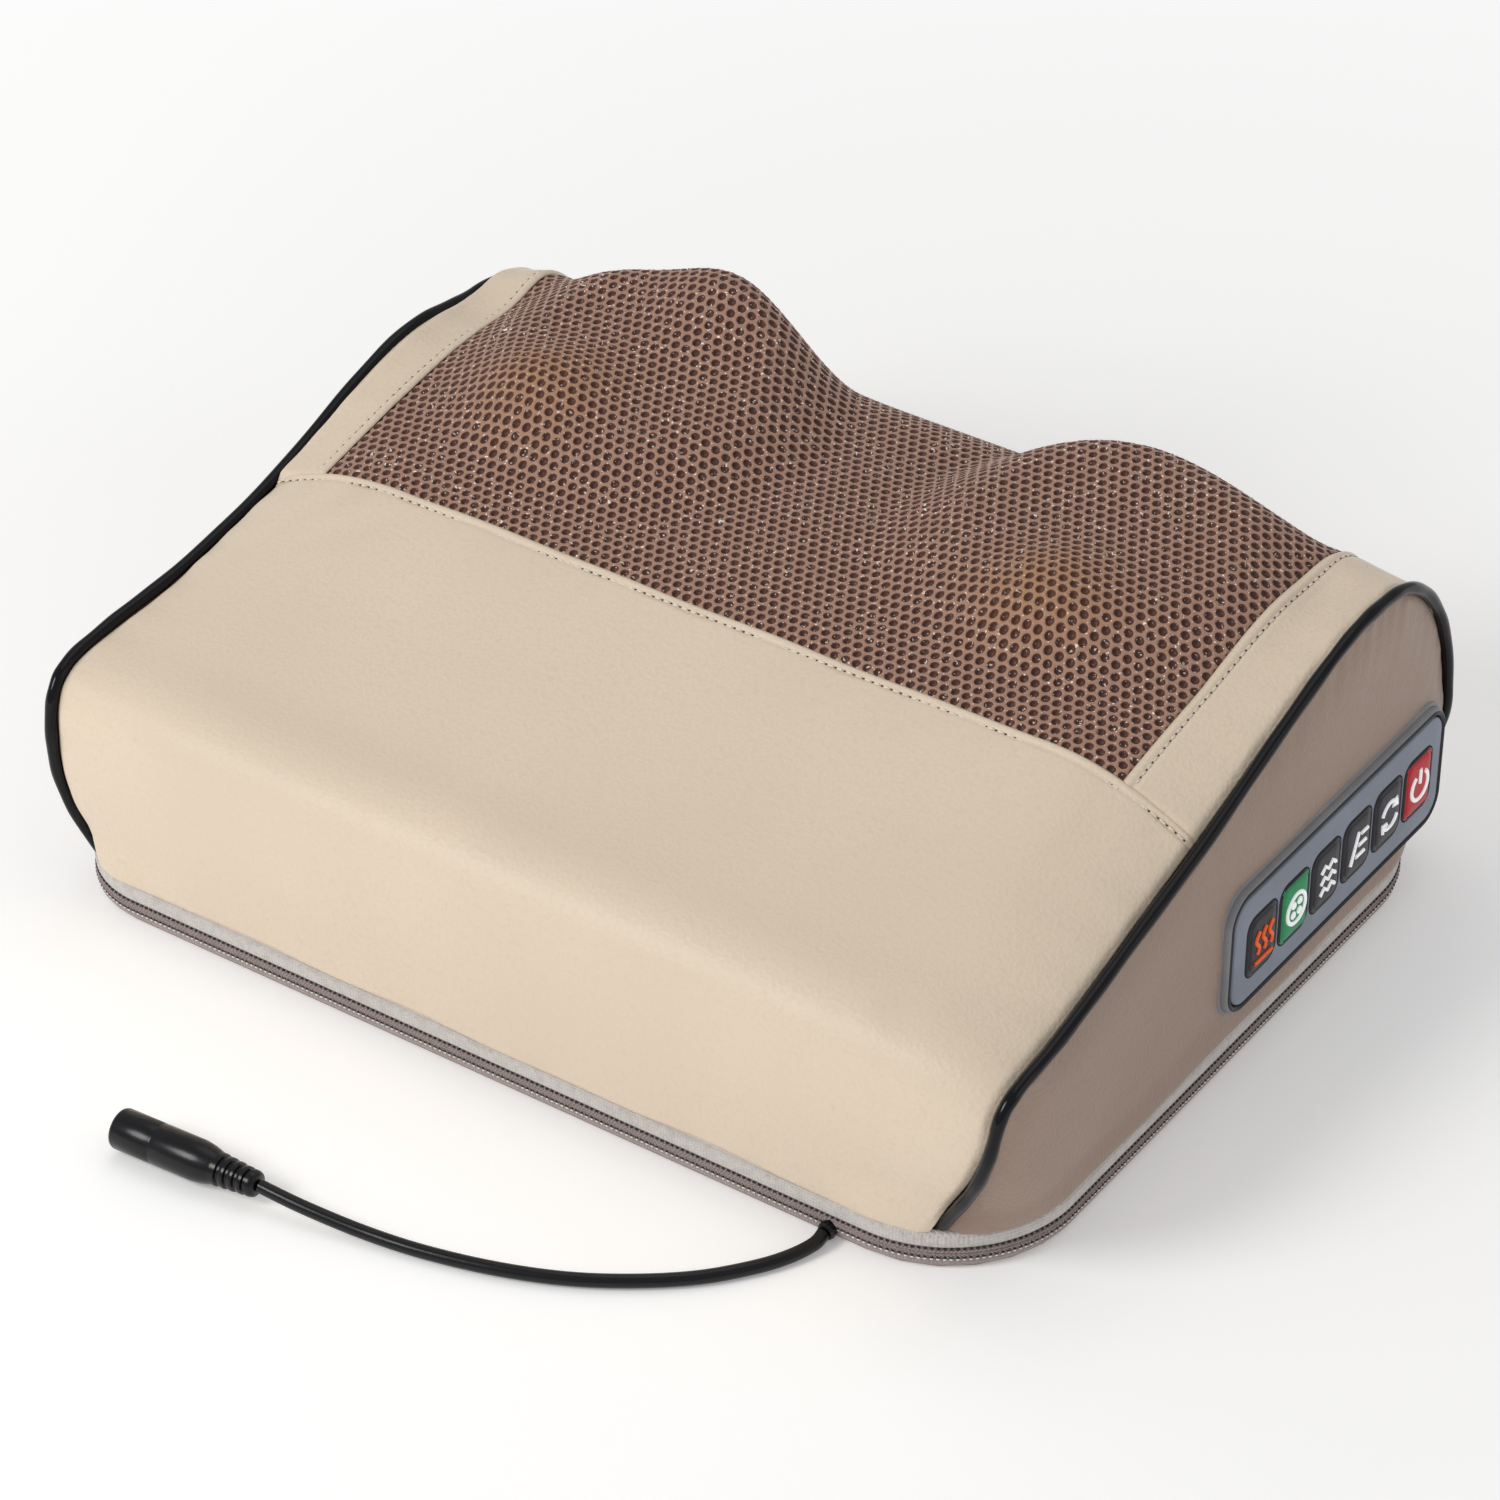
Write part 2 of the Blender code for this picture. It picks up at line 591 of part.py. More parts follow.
def make_foam():
    front = [(-0.1110, 0.0075), (-0.1180, 0.0450), (-0.1150, 0.0620), (-0.1060, 0.0680), (-0.0900, 0.0700),
             (-0.0620, 0.0735), (-0.0220, 0.0815), (-0.0110, 0.0850), (-0.0110, 0.0075)]
    place("front_foam", side_prism(front, -0.140, 0.140), "foam")
    side = [(-0.0080, 0.0075), (-0.0080, 0.0830), (0.0200, 0.0930), (0.0500, 0.1020), (0.0680, 0.1040),
            (0.0830, 0.1010), (0.0950, 0.0910), (0.1000, 0.0800), (0.1000, 0.0075)]
    place("left_side_foam", side_prism(side, -0.149, -0.133), "foam")
    tilt = Matrix.Rotation(MECHANISM_TILT, 4, "X")
    wire_hole = moved(rod(0.0030, -0.03, 0.03, 10), along_x())
    moved(wire_hole, at(*MECHANISM_PLACE) @ tilt @ at(0.141, LEAD_Y, LEAD_Z))
    right = boolean("right_foam", side_prism(side, 0.133, 0.149), [("DIFFERENCE", wire_hole)])
    place("right_side_foam", right, "foam")


# ---------------------------------------------------------------- casing
def tray(half_x, half_y, low, high, floor_low, floor_high):
    """A rounded box's wall from low to high, closed by a floor or deck."""
    outer = rounded_rectangle(half_x, half_y, CASING_CORNER)
    inner = rounded_rectangle(half_x - CASING_WALL, half_y - CASING_WALL, CASING_CORNER - CASING_WALL)
    hollow = (floor_high, high + 0.01) if floor_low == low else (low - 0.01, floor_low)
    return prism(outer, low, high), prism(inner, *hollow)


def socket(outer, inner, top, depth):
    """A boss on the lower casing's floor with a blind hole for a shaft's end."""
    base = CASING_WALL - 0.001
    return turned([(0, base), (outer, base), (outer, top), (inner, top), (inner, depth), (0, depth)], 16)


def make_casings(mechanism):
    corners = [(sx * SCREW_X, sy * SCREW_Y) for sx in (-1, 1) for sy in (-1, 1)]
    floor = CASING_WALL
    outer, hollow = tray(CASING_HALF_X, CASING_HALF_Y, 0.0, CASING_SPLIT, 0.0, floor)
    steps = [("DIFFERENCE", hollow)]
    for x, y in corners:
        steps.append(("UNION", moved(rod(SCREW_BOSS, floor - 0.001, CASING_SPLIT, 12), at(x, y, 0))))
    for x in (-ROTOR_X, ROTOR_X):
        steps.append(("UNION", moved(socket(0.0085, 0.0045, 0.0070, 0.0028), at(x, 0, 0))))
    for x in (-IDLER_X, IDLER_X):
        steps.append(("UNION", moved(socket(0.0050, 0.0024, 0.0068, 0.0025), at(x, 0, 0))))
    # The post that carries the worm's front end, and the two webs of the motor's cradle.
    steps.append(("UNION", box((0.0080, 0.0030, 0.0240), (0, -0.0190, 0.0130))))
    for y in (0.0240, 0.0400):
        steps.append(("UNION", box((0.0260, 0.0030, 0.0120), (0, y, 0.0072))))
    for x in (-FEET_X, FEET_X):
        steps.append(("UNION", moved(rod(FOOT_RADIUS, -0.0120, 0.0010, 12), at(x, FEET_Y, 0))))
        steps.append(("UNION", moved(rod(FOOT_RADIUS, -0.0035, 0.0010, 12), at(x, -FEET_Y, 0))))
    hole = [(0, -0.01), (0.0040, -0.01), (0.0040, 0.0034), (0.0021, 0.0034), (0.0021, 0.04), (0, 0.04)]
    steps += [("DIFFERENCE", moved(turned(hole, 12), at(x, y, 0))) for x, y in corners]
    bearing = moved(rod(0.0020, -0.010, 0.010, 12), along_y())
    steps.append(("DIFFERENCE", moved(bearing, at(0, -0.0190, WORM_HEIGHT))))
    cradle = moved(rod(MOTOR_RADIUS + 0.0004, -0.020, 0.020, 24), along_y())
    steps.append(("DIFFERENCE", moved(cradle, at(0, 0.0320, WORM_HEIGHT))))
    place("lower_casing", boolean("lower_casing", outer, steps), "casing_plastic", parent=mechanism)

    seam = CASING_SPLIT + GAP
    outer, hollow = tray(CASING_HALF_X, CASING_HALF_Y, seam, DECK_TOP, DECK_TOP - CASING_WALL, DECK_TOP)
    steps = [("DIFFERENCE", hollow)]
    for x, y in corners:
        steps.append(("UNION", moved(rod(SCREW_BOSS, seam, DECK_TOP - 0.001, 12), at(x, y, 0))))
    for x, y in corners:
        steps.append(("DIFFERENCE", moved(rod(0.0021, 0.01, 0.0360, 10), at(x, y, 0))))
    for x in (-ROTOR_X, ROTOR_X):
        steps.append(("DIFFERENCE", moved(rod(0.0073, 0.03, 0.06, 16), at(x, 0, 0))))
    wire_hole = moved(moved(rod(0.0021, -0.02, 0.02, 10), along_x()), at(CASING_HALF_X, LEAD_Y, LEAD_Z))
    steps.append(("DIFFERENCE", wire_hole))
    place("upper_casing", boolean("upper_casing", outer, steps), "casing_plastic", parent=mechanism)

    screw = [(0, 0.0006), (0.0034, 0.0006), (0.0034, 0.0030), (0.0016, 0.0030), (0.0016, 0.0330),
             (0, 0.0350)]
    for number, (x, y) in enumerate(corners, 1):
        place(f"casing_screw_{number}", turned(screw, 10), "steel", (x, y, 0), parent=mechanism)


# ---------------------------------------------------------------- motor and gears
def gear_outline(teeth, module, turn):
    """A gear's outline with straight-flanked teeth."""
    tooth_share = 0.42       # the tooth's part of the pitch
    addendum, dedendum = 0.85, 1.10  # in modules
    pitch_radius = teeth * module / 2
    slope = math.tan(PRESSURE_ANGLE)
    thickness = tooth_share * math.pi * module
    points = []
    for tooth in range(teeth):
        middle = turn + 2 * math.pi * tooth / teeth
        for height, side in ((-dedendum, -1), (addendum, -1), (addendum, 1), (-dedendum, 1)):
            radius = pitch_radius + height * module
            angle = middle + side * (thickness / 2 - slope * height * module) / radius
            points.append((radius * math.cos(angle), radius * math.sin(angle)))
    return points


def twisted_prism(outline, low, high, twist):
    """A prism whose top is turned against its bottom, for a wheel that a worm drives."""
    bm = prism(outline, low, high)
    for vertex in bm.verts:
        share = (vertex.co.z - low) / (high - low) - 0.5
        vertex.co = Matrix.Rotation(twist * share, 4, "Z") @ vertex.co
    return bm


def make_drive(name, side, phase, mechanism):
    """One rotor: drive gear, shaft and bush, and the arm that carries two massage heads and a heat lamp."""
    spin = empty(name + "_rotor_axis", (side * ROTOR_X, 0, 0), parent=mechanism)
    towards_idler = math.pi if side > 0 else 0.0
    outline = gear_outline(DRIVE_TEETH, DRIVE_MODULE, towards_idler)
    hub = [(0.0090, 0.0120), (0.0090, 0.0240), (0.0043, 0.0240), (0.0043, 0.0074), (0.0110, 0.0074),
           (0.0110, 0.0120)]
    gear = boolean("gear", prism(outline, 0.0080, 0.0140),
                   [("DIFFERENCE", rod(0.0060, -0.01, 0.05)), ("UNION", turned(hub, 16))])
    place(name + "_drive_gear", gear, "gear_plastic", parent=spin)
    place(name + "_output_shaft", rod(0.0040, 0.0032, 0.0575, 16), "steel", parent=spin)
    bush = [(0.0045, 0.0400), (0.0069, 0.0400), (0.0069, 0.0463), (0.0098, 0.0463), (0.0098, 0.0478),
            (0.0045, 0.0478)]
    place(name + "_deck_bush", turned(bush, 16), "brass", (side * ROTOR_X, 0, 0), parent=mechanism)

    arm = rounded_rectangle(0.0145, ORBIT_RADIUS + 0.0145, 0.0140, 5)
    studs = [moved(rod(0.0040, 0.0500, 0.0880, 12), at(0, y, 0)) for y in (-ORBIT_RADIUS, ORBIT_RADIUS)]
    steps = [("UNION", shape) for shape in studs]
    steps += [("UNION", rod(0.0090, 0.0500, 0.0610)), ("DIFFERENCE", rod(0.0045, 0.02, 0.0580))]
    arm_mesh = boolean("arm", prism(arm, 0.0490, 0.0570), steps)
    place(name + "_rotor_arm", arm_mesh, "casing_plastic", rotation=(0, 0, phase), parent=spin)
    lamp = [(0, 0.0613), (0.0055, 0.0613), (0.0055, 0.0700), (0.0039, 0.0739), (0, 0.0755)]
    place(name + "_heat_lamp", turned(lamp, 12), "lamp_glass", parent=spin)
    for place_name, y in (("back", ORBIT_RADIUS), ("front", -ORBIT_RADIUS)):
        centre = Matrix.Rotation(phase, 4, "Z") @ Vector((0, y, 0))
        place(f"{name}_{place_name}_head", massage_head(), "head_plastic", centre, parent=spin)


def massage_head():
    """A kneading head: a ball on a flared foot, bored from below for the arm's stud."""
    ball_centre = 0.0810
    foot = [(0, 0.0900), (0.0046, 0.0900), (0.0046, 0.0585), (0.0150, 0.0585), (0.0150, 0.0615)]
    ball = []
    for i in range(6):
        angle = math.radians(-48 + 23 * i)
        ball.append((HEAD_RADIUS * math.cos(angle), ball_centre + HEAD_RADIUS * math.sin(angle)))
    return turned(foot + ball + [(0, ball_centre + HEAD_RADIUS)], 16)


def make_idler(name, side, mechanism):
    """The compound gear between worm and drive gear, on its steel pin."""
    towards_drive = 0.0 if side > 0 else math.pi
    # A gap of the pinion faces the drive gear's tooth.
    pinion = gear_outline(PINION_TEETH, DRIVE_MODULE, towards_drive + math.pi / PINION_TEETH)
    lead_angle = math.atan(WORM_LEAD / (2 * math.pi * WORM_PITCH_RADIUS))
    width, wheel_radius = 0.0076, WHEEL_TEETH * WORM_MODULE / 2
    twist = width * math.tan(lead_angle) / wheel_radius
    # The worm's thread is half a pitch further along on its left side, where it meets a tooth.
    turn = math.pi + math.pi / WHEEL_TEETH if side > 0 else 0.0
    wheel = gear_outline(WHEEL_TEETH, WORM_MODULE, turn)
    low = WORM_HEIGHT - width / 2
    shape = boolean("idler", prism(pinion, 0.0074, 0.0142), [
        ("UNION", rod(0.0080, 0.0130, 0.0190, 16)),
        ("UNION", twisted_prism(wheel, low, low + width, twist)),
        ("DIFFERENCE", rod(0.0024, -0.01, 0.05, 12)),
    ])
    centre = (side * IDLER_X, 0, 0)
    place(name + "_idler_gear", shape, "gear_plastic", centre, parent=mechanism)
    place(name + "_idler_pin", rod(0.0020, 0.0028, 0.0290, 12), "steel", centre, parent=mechanism)


def worm_thread(turns):
    """The worm's thread as a ridge swept along a helix about Z."""
    steps_per_turn = 12
    root, tip = WORM_PITCH_RADIUS - 0.0014, WORM_PITCH_RADIUS + 0.0008
    slope = math.tan(PRESSURE_ANGLE)
    thickness = 0.40 * WORM_LEAD
    section = []
    for radius, side in ((root, -1), (tip, -1), (tip, 1), (root, 1)):
        section.append((radius, side * (thickness / 2 - slope * (radius - WORM_PITCH_RADIUS))))
    bm = bmesh.new()
    count = int(turns * steps_per_turn)
    rings = []
    for i in range(count + 1):
        turned_by = (i - count / 2) / steps_per_turn
        height = WORM_LEAD * turned_by
        x, y = math.cos(2 * math.pi * turned_by), math.sin(2 * math.pi * turned_by)
        rings.append([bm.verts.new((radius * x, radius * y, height + z)) for radius, z in section])
    for ring, after in zip(rings, rings[1:]):
        for k in range(4):
            bm.faces.new((ring[k], ring[(k + 1) % 4], after[(k + 1) % 4], after[k]))
    bm.faces.new(rings[0])
    bm.faces.new(rings[-1])
    return bm


def make_motor(mechanism):
    place_motor = {"location": (0, 0, WORM_HEIGHT), "parent": mechanism}
    lying = along_y()
    can = [(0.0022, MOTOR_FRONT), (MOTOR_RADIUS - 0.0012, MOTOR_FRONT),
           (MOTOR_RADIUS, MOTOR_FRONT + 0.0012), (MOTOR_RADIUS, MOTOR_BACK), (0.0022, MOTOR_BACK)]
    place("motor_can", moved(turned(can, 24), lying), "steel", **place_motor)
    cap = [(0.0, MOTOR_BACK + GAP), (0.0118, MOTOR_BACK + GAP), (0.0118, MOTOR_BACK + 0.0022),
           (0.0040, MOTOR_BACK + 0.0022), (0.0040, MOTOR_BACK + 0.0034), (0.0, MOTOR_BACK + 0.0034)]
    place("motor_end_cap", moved(turned(cap, 20), lying), "gear_plastic", **place_motor)
    core = [(0, -0.0210), (0.0016, -0.0210), (0.0016, -0.0125), (0.0040, -0.0120), (0.0040, 0.0120),
            (0.0016, 0.0125), (0.0016, 0.0420), (0, 0.0420)]
    worm = boolean("worm", moved(turned(core, 12), lying), [("UNION", moved(worm_thread(6), lying))])
    place("worm_shaft", worm, "steel", **place_motor)
    tube("motor_lead", MOTOR_LEAD, 0.0012, 34, "cable_black", mechanism)
    tube("supply_lead", SUPPLY_LEAD, 0.0015, 44, "cable_black")


# ---------------------------------------------------------------- control panel
def panel_slab(margin, low, high, corner=PANEL_CORNER):
    """A rounded slab along X in the plane of the end, larger than the control panel by a margin."""
    half_y, half_z = PANEL_SIZE[0] / 2 + margin, PANEL_SIZE[1] / 2 + margin
    return side_prism(rounded_rectangle(half_y, half_z, corner + margin, 6, PANEL_CENTRE), low, high)


def key_centre(number):
    return PANEL_CENTRE[0] + 0.0005 + (number - 2.5) * KEY_PITCH


def key_outline(number, margin):
    """A key's rounded outline grown by a margin, as (Y, Z) points."""
    y, z = key_centre(number), PANEL_CENTRE[1] - 0.0005
    half_y, half_z = KEY_SIZE[0] / 2 + margin, KEY_SIZE[1] / 2 + margin
    return rounded_rectangle(half_y, half_z, 0.0040, 5, (y, z))


def make_panel():
    face = PANEL_FACE_X
    rim = boolean("housing", panel_slab(0, face - 0.0110, face), [
        ("DIFFERENCE", panel_slab(-0.0030, face - 0.0022, face + 0.01)),
        ("DIFFERENCE", panel_slab(-0.0060, face - 0.02, face)),
    ])
    place("control_housing", rim, "panel_rubber")
    windows = [("DIFFERENCE", side_prism(key_outline(n, GAP), 0.1, 0.2)) for n in range(len(KEY_NAMES))]
    plate = boolean("face", panel_slab(-0.0033, face - 0.0018, face - 0.0004), windows)
    place("control_face", plate, "panel_grey")
    board = panel_slab(-0.0066, face - 0.0090, face - 0.0074, corner=0.0030 + 0.0066)
    place("control_board", board, "board")
    for number, name in enumerate(KEY_NAMES):
        finish = {"power": "key_red", "mode": "key_green"}.get(name, "key_dark")
        flange = side_prism(key_outline(number, 0.0006), face - 0.0042, face - 0.0026)
        cap = side_prism(key_outline(number, 0), face - 0.0040, face + 0.0004)
        place(name + "_key", boolean("key", cap, [("UNION", flange)]), finish)


# ---------------------------------------------------------------- cord and socket
def make_cord():
    gland = [(0, 0), (0.0023, 0), (0.0027, 0.0010), (0.0027, 0.0150), (0, 0.0150)]
    place("cord_gland", moved(turned(gland, 12), along_y()), "cable_black", GLAND_FACE)
    tube("power_cord", CORD_ROUTE, CORD_RADIUS, 26, "cable_black")
    heading = Vector(SOCKET_HEADING).normalized()
    turn = heading.to_track_quat("Z", "Y").to_euler()
    ribs = []
    for i in range(4):
        start = 0.0020 + 0.0028 * i
        width = 0.0040 + 0.0002 * i
        ribs += [(width, start), (width, start + 0.0018)]
        ribs += [(width - 0.0007, start + 0.0018), (width - 0.0007, start + 0.0028)]
    profile = [(0, 0.0003), (0.0035, 0.0003), (0.0038, 0.0020)] + ribs + [
        (0.0046, 0.0135), (SOCKET_RADIUS, 0.0190), (SOCKET_RADIUS, SOCKET_LENGTH - 0.0006),
        (SOCKET_RADIUS - 0.0006, SOCKET_LENGTH), (0.0029, SOCKET_LENGTH), (0.0029, SOCKET_LENGTH - 0.0100),
        (0, SOCKET_LENGTH - 0.0100),
    ]
    place("dc_socket", turned(profile, 20), "cable_black", SOCKET_START, turn)
    pin = [(0, SOCKET_LENGTH - 0.0097), (0.0010, SOCKET_LENGTH - 0.0097), (0.0010, SOCKET_LENGTH - 0.0014),
           (0, SOCKET_LENGTH - 0.0009)]
    place("dc_contact_pin", turned(pin, 10), "brass", SOCKET_START, turn)


def main():
    clear_scene()
    mechanism = empty("mechanism", MECHANISM_PLACE, (MECHANISM_TILT, 0, 0))
    make_cover()
    make_base()
    make_foam()
    make_casings(mechanism)
    for name, side, phase in (("left", -1, LEFT_PHASE), ("right", 1, RIGHT_PHASE)):
        make_idler(name, side, mechanism)
        make_drive(name, side, phase, mechanism)
    make_motor(mechanism)
    make_panel()
    make_cord()


main()
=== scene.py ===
"""The looks of the shiatsu neck massager: cover, spacer mesh, piping, zip, keys, cord and finishes."""

import json
import math

import bmesh
import bpy
import numpy as np
from mathutils import Matrix, Vector


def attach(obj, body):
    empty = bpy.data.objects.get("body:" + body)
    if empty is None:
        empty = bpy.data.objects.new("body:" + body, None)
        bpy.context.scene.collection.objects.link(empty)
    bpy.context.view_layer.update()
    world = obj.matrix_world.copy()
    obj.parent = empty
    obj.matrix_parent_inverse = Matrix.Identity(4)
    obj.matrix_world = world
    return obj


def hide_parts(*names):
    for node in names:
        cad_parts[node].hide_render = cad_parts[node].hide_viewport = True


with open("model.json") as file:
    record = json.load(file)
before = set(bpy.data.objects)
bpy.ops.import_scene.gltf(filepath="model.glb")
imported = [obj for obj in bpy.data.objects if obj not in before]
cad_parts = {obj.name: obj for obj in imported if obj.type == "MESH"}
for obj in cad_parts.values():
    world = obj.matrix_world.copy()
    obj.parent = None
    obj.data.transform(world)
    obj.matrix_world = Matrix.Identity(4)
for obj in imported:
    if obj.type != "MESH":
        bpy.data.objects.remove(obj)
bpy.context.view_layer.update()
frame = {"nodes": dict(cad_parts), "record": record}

# ---- sizes, in metres, as in the part
HALF_LENGTH = 0.160
BASE_FRONT, BASE_BACK = -0.1270, 0.1230
BASE_HALF_X = 0.1625
BACK_CORNER = 0.040
FRONT_CORNERS = (0.030, 0.040)   # pairs are left and right
COVER_BOTTOM = 0.0124
BACK_FOOT = (0.1428, 0.044)
FRONT_FEET = ((0.1490, 0.030), (0.1413, 0.050))
FOOT_POWER = 1.8
SKIN = 0.0016
PIPING_RADIUS = 0.0019          # the visible piping is a little thinner than its solid
PIPING_ROOM = 0.0019            # and the visible panels come up to it
TOP_SEAM, BACK_SEAM, LAST = 7.0, 13.0, 16.0     # in points of the profiles, as all stations
SLOPE_STEP = 0.05
MESH_LEFT, MESH_RIGHT = -0.1400, 0.1345
ROTOR_X = 0.080
SHOULDER = 0.050
DOME_FLAT, DOME_EDGE, DOME_Y = 0.036, 0.068, 0.0524
DOME_HEIGHT, DOME_SLOPE = 0.0125, 0.15
END_PROFILE = np.array((
    (-0.1195, 0.0124), (-0.1230, 0.0300), (-0.1255, 0.0500), (-0.1235, 0.0660), (-0.1150, 0.0728),
    (-0.0950, 0.0750), (-0.0650, 0.0780), (-0.0220, 0.0870), (0.0200, 0.1015), (0.0500, 0.1105),
    (0.0700, 0.1125), (0.0880, 0.1095), (0.1040, 0.0970), (0.1150, 0.0770), (0.1200, 0.0500),
    (0.1195, 0.0300), (0.1160, 0.0124),
))
MIDDLE_PROFILE = np.array((
    (-0.1255, 0.0124), (-0.1275, 0.0300), (-0.1285, 0.0500), (-0.1265, 0.0670), (-0.1165, 0.0760),
    (-0.0960, 0.0800), (-0.0660, 0.0880), (-0.0220, 0.1010), (0.0200, 0.1060), (0.0500, 0.1060),
    (0.0700, 0.1050), (0.0900, 0.1035), (0.1060, 0.0940), (0.1160, 0.0770), (0.1210, 0.0500),
    (0.1215, 0.0300), (0.1215, 0.0124),
))
# The fabric over the heads: (X, Y, rise, spread).
BUMPS = (
    (-0.0720, 0.0860, 0.0120, 0.017), (-0.0960, 0.0290, 0.0080, 0.014), (-0.1150, 0.0860, 0.0040, 0.013),
    (-0.1410, 0.0880, 0.0070, 0.012), (0.0740, 0.0860, 0.0025, 0.017), (0.0830, 0.0220, 0.0070, 0.014),
    (0.1290, 0.0940, 0.0060, 0.014),
)
DIPS = ((0.0750, 0.0090, 0.020, 0.050), (-0.1120, 0.0053, 0.032, 0.020))
DIP_FADE = 0.040
SWELLS = ((4.9, 1.3, 0.0022), (4.3, 1.8, 0.0024))
# Where amber light from the heat lamps below is painted into the mesh's colour.
LAMP_GLOW_SPOTS = ((-0.0960, 0.0290), (0.0830, 0.0220))

PANEL_CENTRE = (0.0480, 0.0420)
PANEL_SIZE = (0.1220, 0.0410)
PANEL_CORNER = 0.0095
PANEL_FACE_X = 0.1658
KEY_NAMES = ("heat", "mode", "strength", "speed", "direction", "power")
KEY_PITCH = 0.0177
KEY_SIZE = (0.0166, 0.0206)     # the visible pads reach a little further than their solids
KEY_CORNER = 0.0042
ICON_GRID = 0.00112
ICON_LINE = 0.00072

CORD_RADIUS = 0.0020
CORD_ROUTE = (
    (0.1115, -0.1306, 0.0029), (0.1114, -0.1350, 0.0025), (0.1085, -0.1425, 0.0021),
    (0.1035, -0.1510, 0.0021), (0.0940, -0.1625, 0.0021), (0.0815, -0.1730, 0.0021),
    (0.0660, -0.1828, 0.0021), (0.0480, -0.1905, 0.0021), (0.0280, -0.1962, 0.0021),
    (0.0100, -0.1996, 0.0026), (-0.0080, -0.2026, 0.0046), (-0.0222, -0.2040, 0.0063),
)
SOCKET_START = (-0.0225, -0.2040, 0.0063)
SOCKET_HEADING = (-0.9984, -0.0560, 0.0)
SOCKET_RADIUS = 0.0060
SOCKET_LENGTH = 0.0470

CAMERA_AZIMUTH, CAMERA_ELEVATION = 34.77, 35.52     # degrees
CAMERA_DISTANCE = 1.4918
FLOOR_REACH = 4.0
FLOOR_DROP = 0.0002

LEATHER_RISE = 0.0006        # leathercloth stands this far over the mesh
LEATHER_THICKNESS = 0.0012
MESH_PITCH = 0.0036          # from hole to hole in the spacer mesh
MESH_THICKNESS = 0.0004
HOLE_SIDES = 12
STITCH_INSET = 0.0031        # from a folded edge to its topstitching
STITCH_PITCH = 0.0031
ZIP_PITCH, TOOTH_PITCH, HEM_PITCH = 0.0017, 0.0011, 0.0026
END_RUN, PIPING_RUN = 0.36, 0.44     # lengths round an end, for its gathers and its welt's waves


def new_object(name, data):
    """An object that shows the data in the scene."""
    obj = bpy.data.objects.new(name, data)
    bpy.context.scene.collection.objects.link(obj)
    return obj


# ---- camera, floor and light
def make_camera():
    azimuth, elevation = math.radians(CAMERA_AZIMUTH), math.radians(CAMERA_ELEVATION)
    flat = math.cos(elevation)
    back = Vector((math.sin(azimuth) * flat, -math.cos(azimuth) * flat, math.sin(elevation)))
    data = bpy.data.cameras.new("camera")
    data.sensor_width = 36.0
    data.lens = 123.2
    data.shift_x, data.shift_y = -0.0059, 0.0007
    data.clip_start, data.clip_end = 0.05, 20.0
    camera = new_object("camera", data)
    camera.location = Vector((0, 0, 0.04)) + back * CAMERA_DISTANCE
    camera.rotation_mode = "QUATERNION"
    camera.rotation_quaternion = (-back).to_track_quat("-Z", "Y")
    bpy.context.scene.camera = camera


def area_light(name, location, size, power, colour=(1, 1, 1)):
    data = bpy.data.lights.new(name, "AREA")
    data.shape = "DISK"
    data.size = size
    data.energy = power
    data.color = colour
    light = new_object(name, data)
    light.location = location
    light.rotation_mode = "QUATERNION"
    light.rotation_quaternion = (Vector((0, 0, 0.05)) - Vector(location)).to_track_quat("-Z", "Y")


def make_studio():
    scene = bpy.context.scene
    scene.view_settings.view_transform = "Standard"
    world = bpy.data.worlds.new("studio")
    world.use_nodes = True
    sky = world.node_tree.nodes["Background"]
    sky.inputs["Color"].default_value = (1.0, 1.0, 1.0, 1)
    sky.inputs["Strength"].default_value = 0.465
    scene.world = world
    area_light("key", (-0.54, -1.16, 1.00), 0.6, 10.4, (1.0, 0.99, 0.97))
    area_light("top", (-0.10, 0.45, 1.50), 1.2, 2.5)
    area_light("rim", (1.30, 0.30, 0.60), 0.7, 1.0)
    corners = [(FLOOR_REACH * x, FLOOR_REACH * y, 0) for x, y in ((-1, -1), (1, -1), (1, 1), (-1, 1))]
    mesh = mesh_from("floor", corners, [(0, 1, 2, 3)])
    floor = new_object("floor", mesh)
    floor.location.z = -FLOOR_DROP
    finish = Finish("floor", (0.95, 0.95, 0.95), 0.9, Emission_Color=(1, 1, 1, 1))
    away = finish.node("ShaderNodeVectorMath", operation="LENGTH")
    finish.link(finish.place, away.inputs[0])
    glow = finish.ramp(away.outputs["Value"], 0.30, 1.50, 0.18, 0.58)
    finish.link(glow, finish.shader.inputs["Emission Strength"])
    mesh.materials.append(finish.material)


